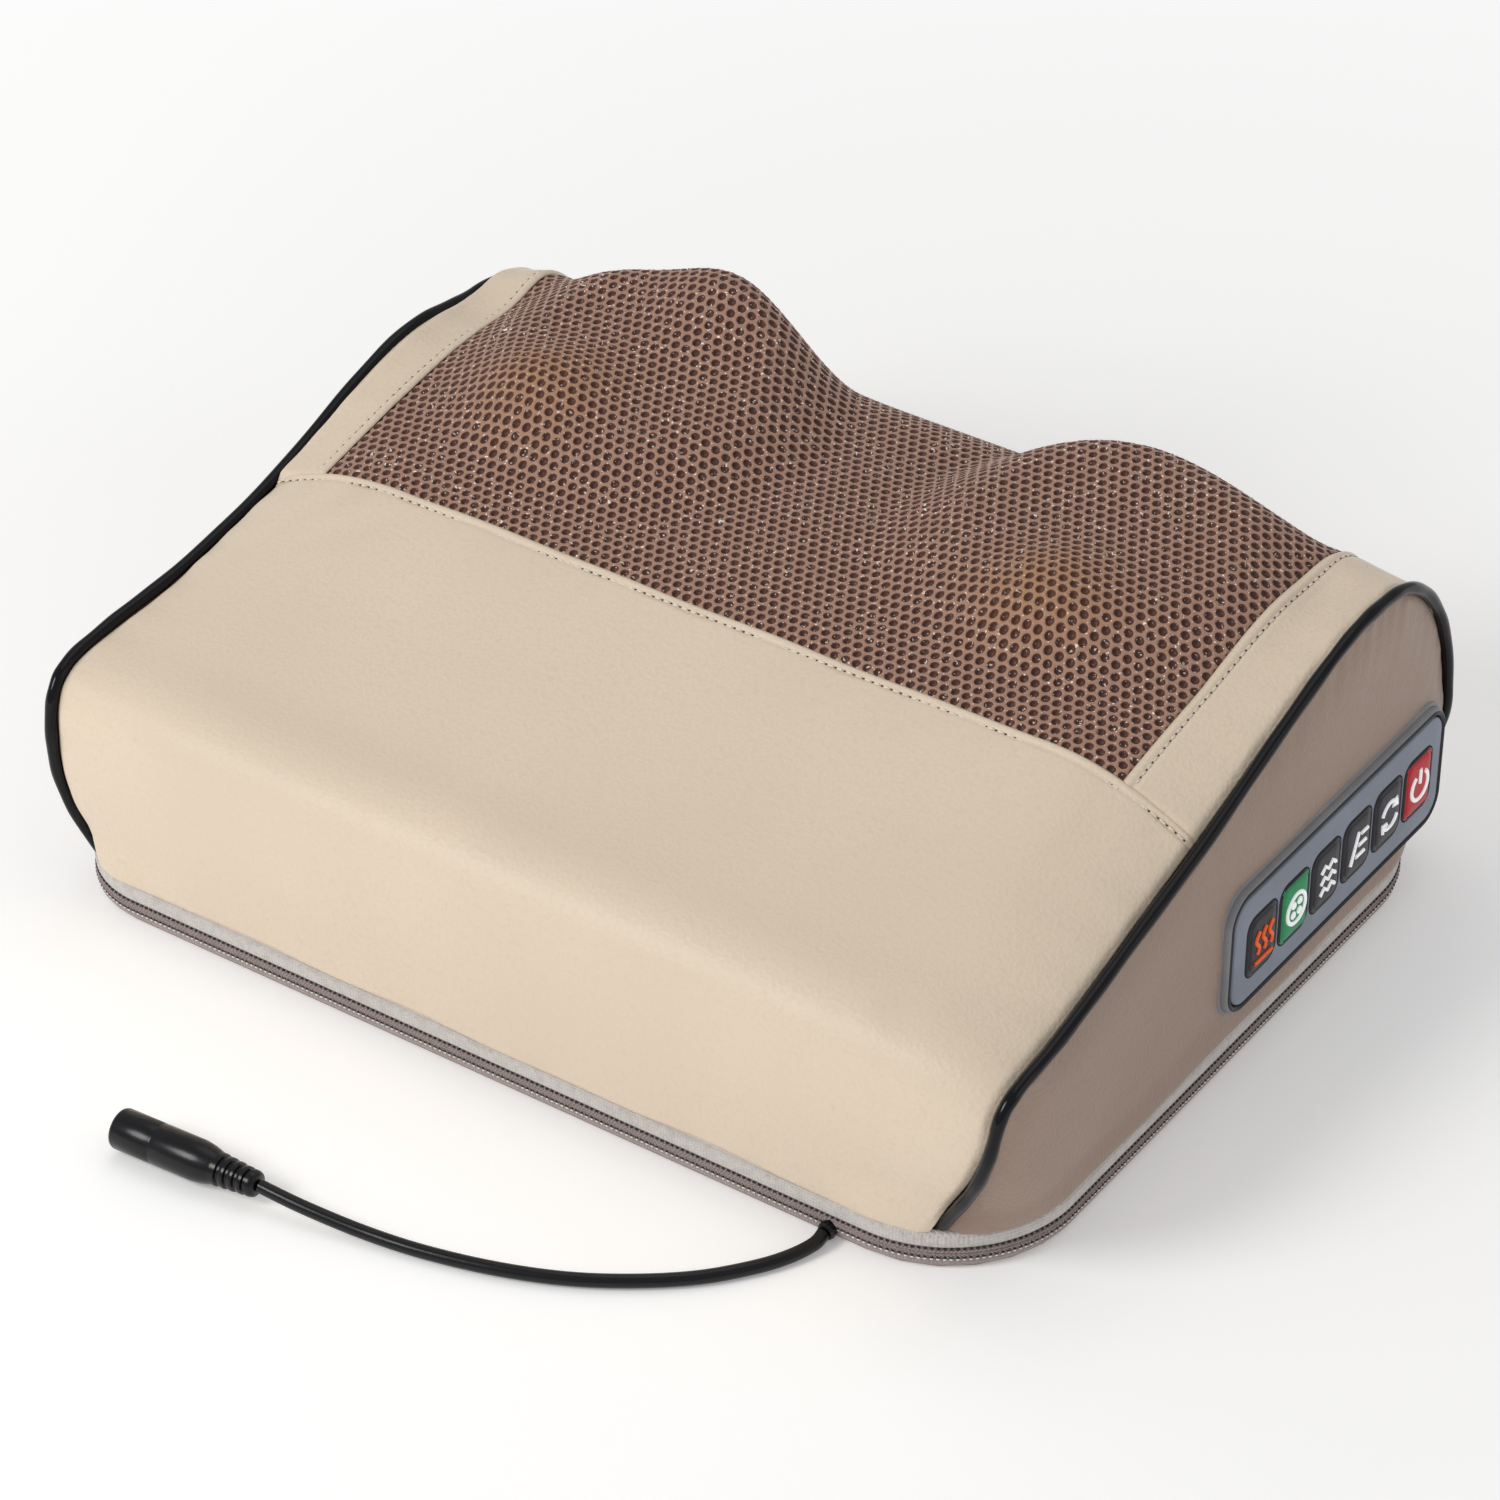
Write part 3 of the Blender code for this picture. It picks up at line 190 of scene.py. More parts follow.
# ---- materials
class Finish:
    """A Principled material that grows by texture layers in object space, where a unit is a metre."""

    def __init__(self, name, colour, roughness, metallic=0.0, **sockets):
        self.material = bpy.data.materials.new(name)
        self.material.use_nodes = True
        self.tree = self.material.node_tree
        self.shader = self.tree.nodes["Principled BSDF"]
        self.colour = colour
        sockets = {"Base Color": (*colour, 1), "Roughness": roughness, "Metallic": metallic, **sockets}
        for socket, value in sockets.items():
            self.shader.inputs[socket.replace("_", " ")].default_value = value
        self.place = self.node("ShaderNodeTexCoord").outputs["Object"]
        self.paint = None
        self.height = None

    def node(self, kind, **values):
        made = self.tree.nodes.new(kind)
        for name, value in values.items():
            setattr(made, name, value)
        return made

    def link(self, start, end):
        self.tree.links.new(start, end)

    def stretched(self, stretch):
        """The place, stretched along the axes."""
        made = self.node("ShaderNodeMapping")
        made.inputs["Scale"].default_value = stretch
        self.link(self.place, made.inputs["Vector"])
        return made.outputs[0]

    def texture(self, kind, scale, stretch=(1, 1, 1), **values):
        made = self.node(kind, **values)
        made.inputs["Scale"].default_value = scale
        self.link(self.stretched(stretch), made.inputs["Vector"])
        return made

    def noise(self, scale, detail=3.0, stretch=(1, 1, 1)):
        made = self.texture("ShaderNodeTexNoise", scale, stretch)
        made.inputs["Detail"].default_value = detail
        return made.outputs["Fac"]

    def cells(self, scale, feature="F1"):
        return self.texture("ShaderNodeTexVoronoi", scale, feature=feature).outputs["Distance"]

    def waves(self, scale, direction="X", distortion=0.0):
        made = self.texture("ShaderNodeTexWave", scale, bands_direction=direction)
        made.inputs["Distortion"].default_value = distortion
        return made.outputs["Fac"]

    def ramp(self, value, low, high, start=0.0, end=1.0):
        """The value's span from low to high spread over start to end, and held there outside it."""
        made = self.node("ShaderNodeMapRange")
        for socket, number in (("From Min", low), ("From Max", high), ("To Min", start), ("To Max", end)):
            made.inputs[socket].default_value = number
        self.link(value, made.inputs["Value"])
        return made.outputs[0]

    def tint(self, mask, colour):
        """Mixes the paint towards a colour where the mask is 1."""
        made = self.node("ShaderNodeMix", data_type="RGBA")
        self.link(mask, made.inputs[0])
        if self.paint is None:
            made.inputs[6].default_value = (*self.colour, 1)
        else:
            self.link(self.paint, made.inputs[6])
        made.inputs[7].default_value = (*colour, 1)
        self.paint = made.outputs[2]
        self.link(self.paint, self.shader.inputs["Base Color"])

    def gloss(self, mask, low, high):
        """Roughness from low to high over the mask."""
        self.link(self.ramp(mask, 0.0, 1.0, low, high), self.shader.inputs["Roughness"])

    def relief(self, height, depth, strength=1.0):
        """Bump of the height, which spans depth metres."""
        made = self.node("ShaderNodeBump")
        made.inputs["Distance"].default_value = depth
        made.inputs["Strength"].default_value = strength
        self.link(height, made.inputs["Height"])
        if self.height is not None:
            self.link(self.height, made.inputs["Normal"])
        self.height = made.outputs[0]
        self.link(self.height, self.shader.inputs["Normal"])
        return self


def shade(colour, factor):
    return tuple(min(1.0, c * factor) for c in colour)


def leathercloth(name, colour, roughness=0.46):
    """Embossed PU: fine pebbles with a soft sheen, and slow changes of tone."""
    made = Finish(name, colour, roughness, Sheen_Weight=0.15, Sheen_Roughness=0.4, Specular_IOR_Level=0.42)
    made.tint(made.ramp(made.noise(14, 2), 0.35, 0.75), shade(colour, 0.955))
    made.tint(made.ramp(made.noise(620, 2), 0.50, 0.85), shade(colour, 0.965))
    made.gloss(made.noise(60, 2), roughness - 0.05, roughness + 0.08)
    made.tint(made.ramp(made.cells(900, "SMOOTH_F1"), 0.45, 0.80), shade(colour, 0.94))
    made.relief(made.cells(900, "SMOOTH_F1"), 0.00018, 0.8)
    made.relief(made.noise(420, 3, (1, 2.2, 1)), 0.00012, 0.6)
    return made.relief(made.noise(2600, 3), 0.00004, 0.6).material


def mesh_yarn(name, colour, glow):
    """Knitted polyester: fine filaments with painted pale glints, and painted amber light from the lamps
    below at the heated heads.
    """
    made = Finish(name, colour, 0.52, Sheen_Weight=0.35, Sheen_Roughness=0.35, Specular_IOR_Level=0.5)
    made.tint(made.ramp(made.noise(900, 3), 0.40, 0.75), shade(colour, 0.80))
    # painted glints: pale flecks on the threads stand in for the sparkle of lit filaments
    made.tint(made.ramp(made.noise(1000, 1), 0.675, 0.725), (0.95, 0.86, 0.78))
    # painted light: amber from the lamps below is mixed into the colour round each heated head
    for spot in LAMP_GLOW_SPOTS:
        away = made.node("ShaderNodeVectorMath", operation="DISTANCE")
        made.link(made.stretched((1, 1, 0)), away.inputs[0])
        away.inputs[1].default_value = (*spot, 0)
        made.tint(made.ramp(away.outputs["Value"], 0.030, 0.004, 0.0, 0.42), glow)
    made.relief(made.waves(520, "DIAGONAL", 3.0), 0.00006, 0.7)
    return made.relief(made.noise(3200, 2), 0.00004, 0.6).material


def fabric(name, colour, roughness=0.85):
    """Woven tape: ribs across and along, with a little fluff."""
    made = Finish(name, colour, roughness, Sheen_Weight=0.3, Sheen_Roughness=0.5)
    made.tint(made.ramp(made.noise(420, 3), 0.40, 0.75), shade(colour, 0.84))
    made.relief(made.waves(330, "X"), 0.00016, 0.7)
    made.relief(made.waves(330, "Y"), 0.00016, 0.7)
    return made.relief(made.waves(330, "Z"), 0.00018, 0.8).material


def moulded(name, colour, roughness, spark=1800, depth=0.00003, **sockets):
    """Moulded plastic or rubber with a spark-eroded texture and slight handling marks."""
    made = Finish(name, colour, roughness, **sockets)
    made.tint(made.ramp(made.noise(70, 4), 0.45, 0.80), shade(colour, 1.18))
    made.gloss(made.noise(180, 3), max(roughness - 0.06, 0.03), roughness + 0.08)
    return made.relief(made.noise(spark, 2), depth, 0.5).material


def metal(name, colour, roughness):
    """Turned or drawn metal with fine lines."""
    made = Finish(name, colour, roughness, 1.0)
    made.tint(made.ramp(made.noise(90, 4), 0.45, 0.75), shade(colour, 0.82))
    made.gloss(made.noise(300, 3, (1, 12, 1)), roughness - 0.06, roughness + 0.12)
    return made.relief(made.waves(1500, "X", 1.5), 0.00001, 0.5).material


def foam(name, colour):
    """Open foam, with its cells."""
    made = Finish(name, colour, 0.95, Sheen_Weight=0.2)
    made.tint(made.ramp(made.cells(700), 0.0, 0.35), (0.60, 0.53, 0.34))
    return made.relief(made.cells(700), 0.0004, 0.9).material


def circuit_board(name, colour):
    """Solder mask over raised tracks."""
    made = Finish(name, colour, 0.40)
    made.tint(made.ramp(made.waves(300, "Y", 4.0), 0.55, 0.60), (0.03, 0.30, 0.12))
    return made.relief(made.waves(300, "Y", 4.0), 0.00004, 0.5).material


def lamp(name, colour):
    """Red heat-lamp glass with faint rings."""
    made = Finish(name, colour, 0.08, Transmission_Weight=0.5, IOR=1.45)
    made.tint(made.ramp(made.noise(200, 2), 0.4, 0.7), (0.95, 0.35, 0.10))
    return made.relief(made.waves(900, "Z"), 0.00005, 0.4).material


def make_finishes():
    made = {}

    def add(maker, name, *values, **sockets):
        made[name] = maker(name, *values, **sockets)

    add(leathercloth, "cream_leathercloth", (0.760, 0.632, 0.490))
    add(leathercloth, "taupe_leathercloth", (0.330, 0.228, 0.174), 0.42)
    # the last colour of each mesh finish is the painted amber light at the heated heads
    add(mesh_yarn, "brown_mesh", (0.400, 0.226, 0.160), (0.42, 0.20, 0.07))
    # painted shade: a dark brown for the holes' walls and floors, where the mesh lies in shade
    add(mesh_yarn, "mesh_hole", (0.110, 0.039, 0.024), (0.17, 0.062, 0.016))
    add(moulded, "black_vinyl", (0.0036, 0.0038, 0.0055), 0.15, 500, 0.00006, Specular_IOR_Level=0.22)
    add(fabric, "zip_tape", (0.640, 0.600, 0.570))
    add(fabric, "zip_mauve", (0.360, 0.295, 0.275))
    add(moulded, "zip_coil", (0.330, 0.265, 0.250), 0.42)
    add(moulded, "zip_thread", (0.006, 0.004, 0.005), 0.6)
    # painted glints: pale beads for the sparkle along the lower tape
    add(moulded, "zip_glint", (0.860, 0.820, 0.790), 0.30)
    add(fabric, "cream_thread", (0.860, 0.780, 0.650), 0.6)
    # painted shade: dark beads for the shade in the needle holes
    add(fabric, "needle_hole", (0.050, 0.036, 0.028), 0.9)
    add(foam, "foam", (0.78, 0.72, 0.52))
    add(moulded, "casing_plastic", (0.050, 0.050, 0.055), 0.48)
    add(moulded, "gear_plastic", (0.800, 0.785, 0.730), 0.38, Subsurface_Weight=0.05)
    add(moulded, "head_plastic", (0.450, 0.200, 0.080), 0.30)
    add(metal, "steel", (0.560, 0.570, 0.580), 0.28)
    add(metal, "brass", (0.700, 0.520, 0.250), 0.30)
    add(lamp, "lamp_glass", (0.85, 0.20, 0.05))
    add(moulded, "panel_rubber", (0.012, 0.013, 0.020), 0.40, 1400, Specular_IOR_Level=0.35)
    # painted highlight: a lighter grey for the control panel's outer lip and collar
    add(moulded, "panel_edge", (0.230, 0.234, 0.248), 0.45, 1400)
    add(moulded, "panel_grey", (0.195, 0.218, 0.275), 0.46, 1600)
    add(moulded, "key_dark", (0.010, 0.010, 0.016), 0.34, 1600, Specular_IOR_Level=0.35)
    add(moulded, "key_green", (0.002, 0.270, 0.090), 0.34, 1600, Specular_IOR_Level=0.30)
    add(moulded, "key_red", (0.500, 0.003, 0.014), 0.34, 1600, Specular_IOR_Level=0.30)
    # painted light: a faint emission makes the white and orange icons glow
    white = {"Emission_Color": (1, 1, 1, 1), "Emission_Strength": 0.20}
    add(moulded, "icon_white", (0.93, 0.94, 0.95), 0.45, 1600, **white)
    orange = {"Emission_Color": (1, 0.15, 0.02, 1), "Emission_Strength": 0.10}
    add(moulded, "icon_orange", (0.86, 0.110, 0.012), 0.45, 1600, **orange)
    add(circuit_board, "board", (0.015, 0.16, 0.06))
    add(moulded, "cable_black", (0.0045, 0.0047, 0.0065), 0.24, 900, Specular_IOR_Level=0.32)
    return made


# ---- pieces
def show(obj, body, replaces):
    """Puts a visible object on a body and in place of a node of the part."""
    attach(obj, body)
    if replaces:
        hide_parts(replaces)
    return obj


def piece(name, mesh, slot, replaces=None, finishes=None, body="pillow", smooth=60):
    """A visible mesh in its slot's finish, or in several finishes by its faces' material numbers."""
    for finish in finishes or [slot]:
        mesh.materials.append(FINISHES[finish])
    mesh.shade_smooth()
    mesh.set_sharp_from_angle(angle=math.radians(smooth))
    return show(new_object(name, mesh), body, replaces)


def mesh_from(name, points, faces, numbers=None):
    mesh = bpy.data.meshes.new(name)
    corners = [tuple(int(i) for i in face) for face in faces]
    mesh.from_pydata([tuple(point) for point in np.asarray(points, float)], [], corners)
    if numbers is not None:
        mesh.polygons.foreach_set("material_index", np.asarray(numbers, np.int32))
    mesh.update()
    return mesh


def reworked(mesh, work):
    """The mesh after work on its bmesh."""
    bm = bmesh.new()
    bm.from_mesh(mesh)
    work(bm)
    bm.to_mesh(mesh)
    bm.free()
    return mesh


def outward(mesh):
    """Turns a closed mesh's faces outwards."""
    def work(bm):
        bmesh.ops.remove_doubles(bm, verts=bm.verts, dist=1e-6)
        bmesh.ops.recalc_face_normals(bm, faces=bm.faces)

    return reworked(mesh, work)


def grid_faces(rows, columns, around=False):
    """The quads of a grid of points, which closes on itself when it goes around."""
    i, j = np.meshgrid(np.arange(rows - 1), np.arange(columns if around else columns - 1), indexing="ij")
    k, low, high = (j + 1) % columns, i * columns, (i + 1) * columns
    return np.stack([low + j, low + k, high + k, high + j], -1).reshape(-1, 4)


def thicken(obj, thickness):
    """Gives an open sheet its thickness inwards, with closed edges."""
    solid = obj.modifiers.new("Thickness", "SOLIDIFY")
    solid.thickness = thickness
    solid.offset = -1


def graded(length, fine, coarse, band):
    """Distances from 0 to length, close together within a band at both ends."""
    edge = np.arange(0, band, fine)
    middle = np.linspace(band, length - band, max(int((length - 2 * band) / coarse), 1) + 1)
    return np.concatenate((edge, middle, (length - edge)[::-1]))


def unit(vectors):
    """The vectors at a length of 1."""
    return vectors / np.maximum(np.linalg.norm(vectors, axis=-1, keepdims=True), 1e-12)


def run_along(points):
    """The length of a path up to each of its points."""
    return np.concatenate(([0], np.cumsum(np.linalg.norm(np.diff(points, axis=0), axis=1))))


def at_height(flat, z):
    """Flat points as (X, Y, Z) at one height."""
    return np.concatenate([flat, np.full((len(flat), 1), z)], -1)


def eased(share):
    share = np.clip(share, 0.0, 1.0)
    return share * share * (3 - 2 * share)


def bell(distance, spread):
    return np.exp(-((distance / spread) ** 2))


def curve_at(points, station):
    """Points on the Catmull-Rom curve through the points, at stations counted in points."""
    points = np.asarray(points, float)
    station = np.clip(np.asarray(station, float), 0, len(points) - 1)
    i = np.minimum(station.astype(int), len(points) - 2)
    t = (station - i)[..., None]
    before, a, b, after = (points[np.clip(i + k, 0, len(points) - 1)] for k in (-1, 0, 1, 2))
    return 0.5 * (
        2 * a + (b - before) * t + (2 * before - 5 * a + 4 * b - after) * t**2
        + (3 * a - before - 3 * b + after) * t**3
    )


# ---- the cover's surface
def of_side(side, pairs):
    """The left or the right one of each of two equal rows of numbers, for signs of X."""
    return [np.where(np.asarray(side) < 0, left, right) for left, right in zip(*pairs)]


def half_width(side, station):
    """Half the cover's width at a profile station: the feet curve in to the base's corner arcs."""
    over_zip = curve_at(END_PROFILE, station)[..., 1] - COVER_BOTTOM
    middle, spread, rise = of_side(side, SWELLS)
    full = HALF_LENGTH + rise * bell(station - middle, spread)
    feet = zip(BACK_FOOT, of_side(side, FRONT_FEET))
    foot, height = (np.where(station > TOP_SEAM, back, front) for back, front in feet)
    return foot + (full - foot) * (1 - np.clip(1 - over_zip / height, 0, 1) ** FOOT_POWER)


def change(line, side, station):
    """How an end's line or half width changes about a profile station."""
    return line(side, station + SLOPE_STEP) - line(side, station - SLOPE_STEP)


def edge_width(side, station):
    """Half the width between the panels' edges, beside the piping."""
    run = np.linalg.norm(change(end_line, side, station), axis=-1)
    slope = change(half_width, side, station) / np.maximum(run, 1e-4)
    return half_width(side, station) - PIPING_ROOM * np.hypot(1, slope)


def left_edge(station):
    return -edge_width(-1, station)


def right_edge(station):
    return edge_width(1, station)


def end_line(side, station):
    """The line of an end's piping, as (Y, Z)."""
    y, z = np.moveaxis(curve_at(END_PROFILE, station), -1, 0)
    middle, depth, spread, above = of_side(side, DIPS)
    dip = depth * np.exp(-((y - middle) ** 2) / (2 * spread**2)) * eased((z - above) / DIP_FADE)
    y, z = np.broadcast_arrays(y, z - dip)
    return np.stack([y, z], -1)


def cover(x, station):
    """Points on the smooth cover, for arrays of X and of profile station."""
    inside = np.clip(half_width(x, station) - abs(x), 0, None) / SHOULDER
    rise = (1 - (1 - np.minimum(inside, 1)) ** 2)[..., None]
    y, z = np.moveaxis(end_line(x, station) * (1 - rise) + curve_at(MIDDLE_PROFILE, station) * rise, -1, 0)
    on_top = (station > TOP_SEAM) & (station < BACK_SEAM)
    from_axis = np.hypot(abs(x) - ROTOR_X, y - DOME_Y)
    dome = 1 - eased((from_axis - DOME_FLAT) / (DOME_EDGE - DOME_FLAT))
    lift = dome * (DOME_HEIGHT + DOME_SLOPE * (y - DOME_Y)) * eased((station - TOP_SEAM) * 1.6)
    for bump_x, bump_y, height, spread in BUMPS:
        bump = height * np.exp(-((x - bump_x) ** 2 + (y - bump_y) ** 2) / (2 * spread**2))
        lift = lift + bump * eased((BACK_SEAM - station) / 1.5)
    return np.stack([x, y, z + np.where(on_top, lift, 0)], -1)


def cover_normal(x, station):
    step = 2e-3
    across = cover(x + step, station) - cover(x - step, station)
    along = cover(x, np.minimum(station + step, LAST)) - cover(x, np.maximum(station - step, 0))
    return unit(np.cross(across, along))


STATIONS = np.linspace(0, LAST, 1601)
LENGTHS = run_along(curve_at(MIDDLE_PROFILE, STATIONS))


def length_at(station):
    """Length along the middle profile from the front foot."""
    return np.interp(station, STATIONS, LENGTHS)


def station_at(length):
    return np.interp(length, LENGTHS, STATIONS)


def folded_edge(distance):
    """Relief of a turned and topstitched edge, by the distance from it."""
    roll = -0.0010 * bell(distance, 0.0007)
    hem = 0.00035 * (1 - eased((distance - 0.0022) / 0.0014))
    groove = -0.00042 * bell(distance - STITCH_INSET, 0.0007)
    return roll + hem + groove


def tucked_edge(distance):
    """Relief where a panel turns in to a seam."""
    return -0.0013 * bell(distance, 0.0015) - 0.0004 * bell(distance, 0.006)


def foot_edge(distance, reach):
    """Relief where a panel comes down on the zip's tape, level with its outside."""
    return reach * (1 - eased(distance / 0.014)) - 0.0006 * bell(distance, 0.0009)


def base_reach(x, corners, edge, station):
    """How far the base's outline, with its two corners, stands out beyond the cover's foot at X."""
    corner = np.where(x < 0, *corners)
    over = np.clip(abs(x) - (BASE_HALF_X - corner), 0, corner)
    line = abs(edge) - corner + np.sqrt(corner**2 - over**2)
    return line - abs(cover(x, np.full_like(x, station))[..., 1]) - 0.0003


def puckers(distance, along, pitch, height):
    """Small gathers that a seam pulls, fading away from it."""
    wave = np.sin(2 * math.pi * along / pitch) + 0.6 * np.sin(2 * math.pi * along / (pitch * 1.63) + 1.1)
    return height * wave * np.exp(-np.clip(distance - 0.002, 0, None) / 0.009) * eased(distance / 0.003)


def swell(x, length):
    """Slow unevenness of padded leathercloth."""
    waves = ((71, 38, 0.0), (33, -97, 1.3), (121, 19, 2.1))
    return 0.00022 * sum(np.sin(x * across + length * along + start) for across, along, start in waves)


def crease(x, y, start, end, width, depth):
    """A soft fold from start to end, as (X, Y) points, deepest near its start."""
    (sx, sy), (ex, ey) = start, end
    run = math.hypot(ex - sx, ey - sy)
    dx, dy = (ex - sx) / run, (ey - sy) / run
    along = ((x - sx) * dx + (y - sy) * dy) / run
    off = (x - sx) * dy - (y - sy) * dx
    fade = eased(along * 4) * eased((1 - along) * 1.6)
    return -depth * fade * (bell(off, width) - 0.6 * bell(off - 1.7 * width, width))


FRONT_CREASES = (
    ((-0.128, -0.026), (-0.150, -0.074), 0.0042, 0.0010),
    ((-0.100, -0.027), (-0.140, -0.062), 0.0050, 0.0007),
    ((0.140, -0.030), (0.128, -0.075), 0.0060, 0.0005),
    ((0.118, -0.110), (0.137, -0.122), 0.0060, 0.0006),
)


def cover_sheet(name, first, last, left, right, relief, replaces, steps=(0.0005, 0.0026, 0.0065)):
    """A leathercloth panel between two profile stations and two X edges, with relief over the smooth cover.

    relief takes arrays of X, of length along the profile, and of distance from the low, high, left and
    right edges."""
    low, high = length_at(first), length_at(last)
    lengths = graded(high - low, *steps)
    station = station_at(low + lengths)[:, None]
    left_x, right_x = left(station), right(station)
    width = float(np.max(right_x - left_x))
    across = graded(width, steps[0], steps[1], min(steps[2], width / 3))[None, :] / width
    x = left_x + (right_x - left_x) * across
    station = np.broadcast_to(station, x.shape)
    length = np.broadcast_to(lengths[:, None], x.shape)
    offset = relief(x, length + low, length, high - low - length, x - left_x, right_x - x)
    points = cover(x, station) + cover_normal(x, station) * (LEATHER_RISE + offset)[..., None]
    mesh = mesh_from(name, points.reshape(-1, 3), grid_faces(*x.shape))
    thicken(piece(name, mesh, "cream_leathercloth", replaces), LEATHER_THICKNESS)


def level(x):
    """An edge at a fixed X."""
    return lambda station: np.full_like(station, x)


def make_leathercloth():
    def front_relief(x, length, low, high, left, right):
        y = cover(x, station_at(length))[..., 1]
        sides = (tucked_edge(left) + tucked_edge(right)) * (0.2 + 0.8 * eased(low / 0.012))
        relief = folded_edge(high) + foot_edge(low, base_reach(x, FRONT_CORNERS, BASE_FRONT, 0)) + sides
        relief = relief + puckers(high, x, 0.017, 0.00020) + puckers(low, x, 0.024, 0.00022)
        relief = relief + puckers(left, length, 0.015, 0.00022) + puckers(right, length, 0.016, 0.00022)
        for fold in FRONT_CREASES:
            relief = relief + crease(x, y, *fold)
        return relief + swell(x, length)

    def back_relief(x, length, low, high, left, right):
        sides = (tucked_edge(left) + tucked_edge(right)) * (0.2 + 0.8 * eased(high / 0.012))
        reach = base_reach(x, (BACK_CORNER, BACK_CORNER), BASE_BACK, LAST)
        relief = folded_edge(low) + foot_edge(high, reach) + sides + swell(x, length)
        return relief + puckers(low, x, 0.017, 0.00020) + puckers(high, x, 0.024, 0.00022)

    def strip_relief(inner, outer, low, high, length):
        under = -0.0016 * (1 - eased(low / 0.0030)) - 0.0016 * (1 - eased(high / 0.0030))
        return folded_edge(inner) + tucked_edge(outer) + under + puckers(outer, length, 0.015, 0.00018)

    def left_relief(x, length, low, high, left, right):
        return strip_relief(right, left, low, high, length) + 0.0016 * bell(left - 0.002, 0.004)

    def right_relief(x, length, low, high, left, right):
        return strip_relief(left, right, low, high, length)

    cover_sheet("front_leathercloth", 0, TOP_SEAM, left_edge, right_edge, front_relief, "front_panel")
    cover_sheet("back_leathercloth", BACK_SEAM, LAST, left_edge, right_edge, back_relief, "back_panel")
    under = 0.05
    span = (TOP_SEAM - under, BACK_SEAM + under)
    fine = (0.0005, 0.0020, 0.0065)
    cover_sheet("left_strip", *span, left_edge, level(MESH_LEFT), left_relief, "left_top_strip", fine)
    cover_sheet("right_strip", *span, level(MESH_RIGHT), right_edge, right_relief, "right_top_strip", fine)


# ---- the spacer mesh
def make_spacer_mesh():
    """The knitted mesh as real geometry: ribs round rows of holes, each with its wall and floor."""
    pitch, row_pitch = MESH_PITCH, MESH_PITCH * math.sqrt(3) / 2
    low, high = length_at(TOP_SEAM), length_at(BACK_SEAM)
    margin = 0.0018
    rows = np.arange(-margin, high - low + margin, row_pitch)
    centres = []
    for number, v in enumerate(rows):
        shift = pitch / 2 if number % 2 else 0.0
        u = np.arange(MESH_LEFT - margin + shift, MESH_RIGHT + margin, pitch)
        centres.append(np.stack([u, np.full_like(u, v)], -1))
    centres = np.concatenate(centres)
    around = np.arange(HOLE_SIDES)
    turn = np.radians(around * 360 / HOLE_SIDES)
    corner = around % 2 == 1
    circle = np.stack([np.cos(turn), np.sin(turn)], -1)
    border = circle * np.where(corner, pitch / math.sqrt(3), pitch / 2)[:, None]
    # Rings from the ribs' crest down to the hole's floor: (outline, height).
    rings = [
        (border, np.where(corner, 0.00022, 0.00008)),
        (circle * pitch * 0.375, 0.00004),
        (circle * pitch * 0.315, -0.00042),
        (circle * pitch * 0.240, -0.00105),
    ]
    flat = np.concatenate([centres[:, None, :] + outline[None] for outline, _ in rings], 1)
    heights = np.concatenate([np.broadcast_to(h, (len(centres), HOLE_SIDES)) for _, h in rings], 1)
    flat = np.concatenate([flat, centres[:, None, :]], 1).reshape(-1, 2)
    heights = np.concatenate([heights, np.full((len(centres), 1), -0.00115)], 1).reshape(-1)
    x, length = flat.T
    over = np.maximum.reduce([MESH_LEFT - x, x - MESH_RIGHT, -length, length - (high - low)])
    station = station_at(low + length)
    sink = -0.0014 * eased((over + 0.0006) / 0.0012)
    points = cover(x, station) + cover_normal(x, station) * (heights + sink)[:, None]
    bottom = HOLE_SIDES * (len(rings) - 1)
    middle = bottom + HOLE_SIDES
    floor = np.stack([around + bottom, (around + 1) % HOLE_SIDES + bottom, np.full(HOLE_SIDES, middle)], -1)
    starts = (np.arange(len(centres)) * (middle + 1))[:, None, None]
    quads = (grid_faces(len(rings), HOLE_SIDES, around=True)[None] + starts).reshape(-1, 4)
    fans = (floor[None] + starts).reshape(-1, 3)
    # painted shade: the holes' walls and floors take the darker finish, the crests the brown one
    numbers = ([0] * HOLE_SIDES + [1] * (bottom - HOLE_SIDES)) * len(centres) + [1] * len(fans)
    mesh = mesh_from("spacer_mesh", points, list(quads) + list(fans), numbers)
    reworked(mesh, lambda bm: bmesh.ops.remove_doubles(bm, verts=bm.verts, dist=5e-5))
    made = piece("spacer_mesh", mesh, "brown_mesh", "mesh_panel", ["brown_mesh", "mesh_hole"], smooth=180)
    thicken(made, MESH_THICKNESS)


# ---- stitches
def beads(name, centres, along, up, size, slot, finish):
    """Small rounded stitches of a size (length, width, height), each lying along its direction."""
    centres, along, up = (np.asarray(a, float) for a in (centres, along, up))
    along = unit(along)
    side = unit(np.cross(up, along))
    up = np.cross(along, side)
    sides = 6
    turn = np.arange(sides) * 2 * math.pi / sides
    template = [(-1, 0, 0)]
    for at_x, radius in ((-0.7, 0.75), (0.0, 1.0), (0.7, 0.75)):
        template += [(at_x, radius * math.cos(t), radius * math.sin(t)) for t in turn]
    template.append((1, 0, 0))
    template = np.array(template) * np.array(size) / 2
    points = centres[:, None] + template @ np.stack([along, side, up], 1)
    faces = []
    last = 1 + 3 * sides
    for k in range(sides):
        n = (k + 1) % sides
        faces.append((0, 1 + n, 1 + k))
        faces.append((last, last - sides + k, last - sides + n))
        for ring in range(2):
            a = 1 + ring * sides
            faces.append((a + k, a + n, a + sides + n, a + sides + k))
    starts = np.arange(len(centres)) * len(template)
    every = [tuple(np.array(f) + s) for s in starts for f in faces]
    piece(name, mesh_from(name, points.reshape(-1, 3), every), slot, None, [finish])


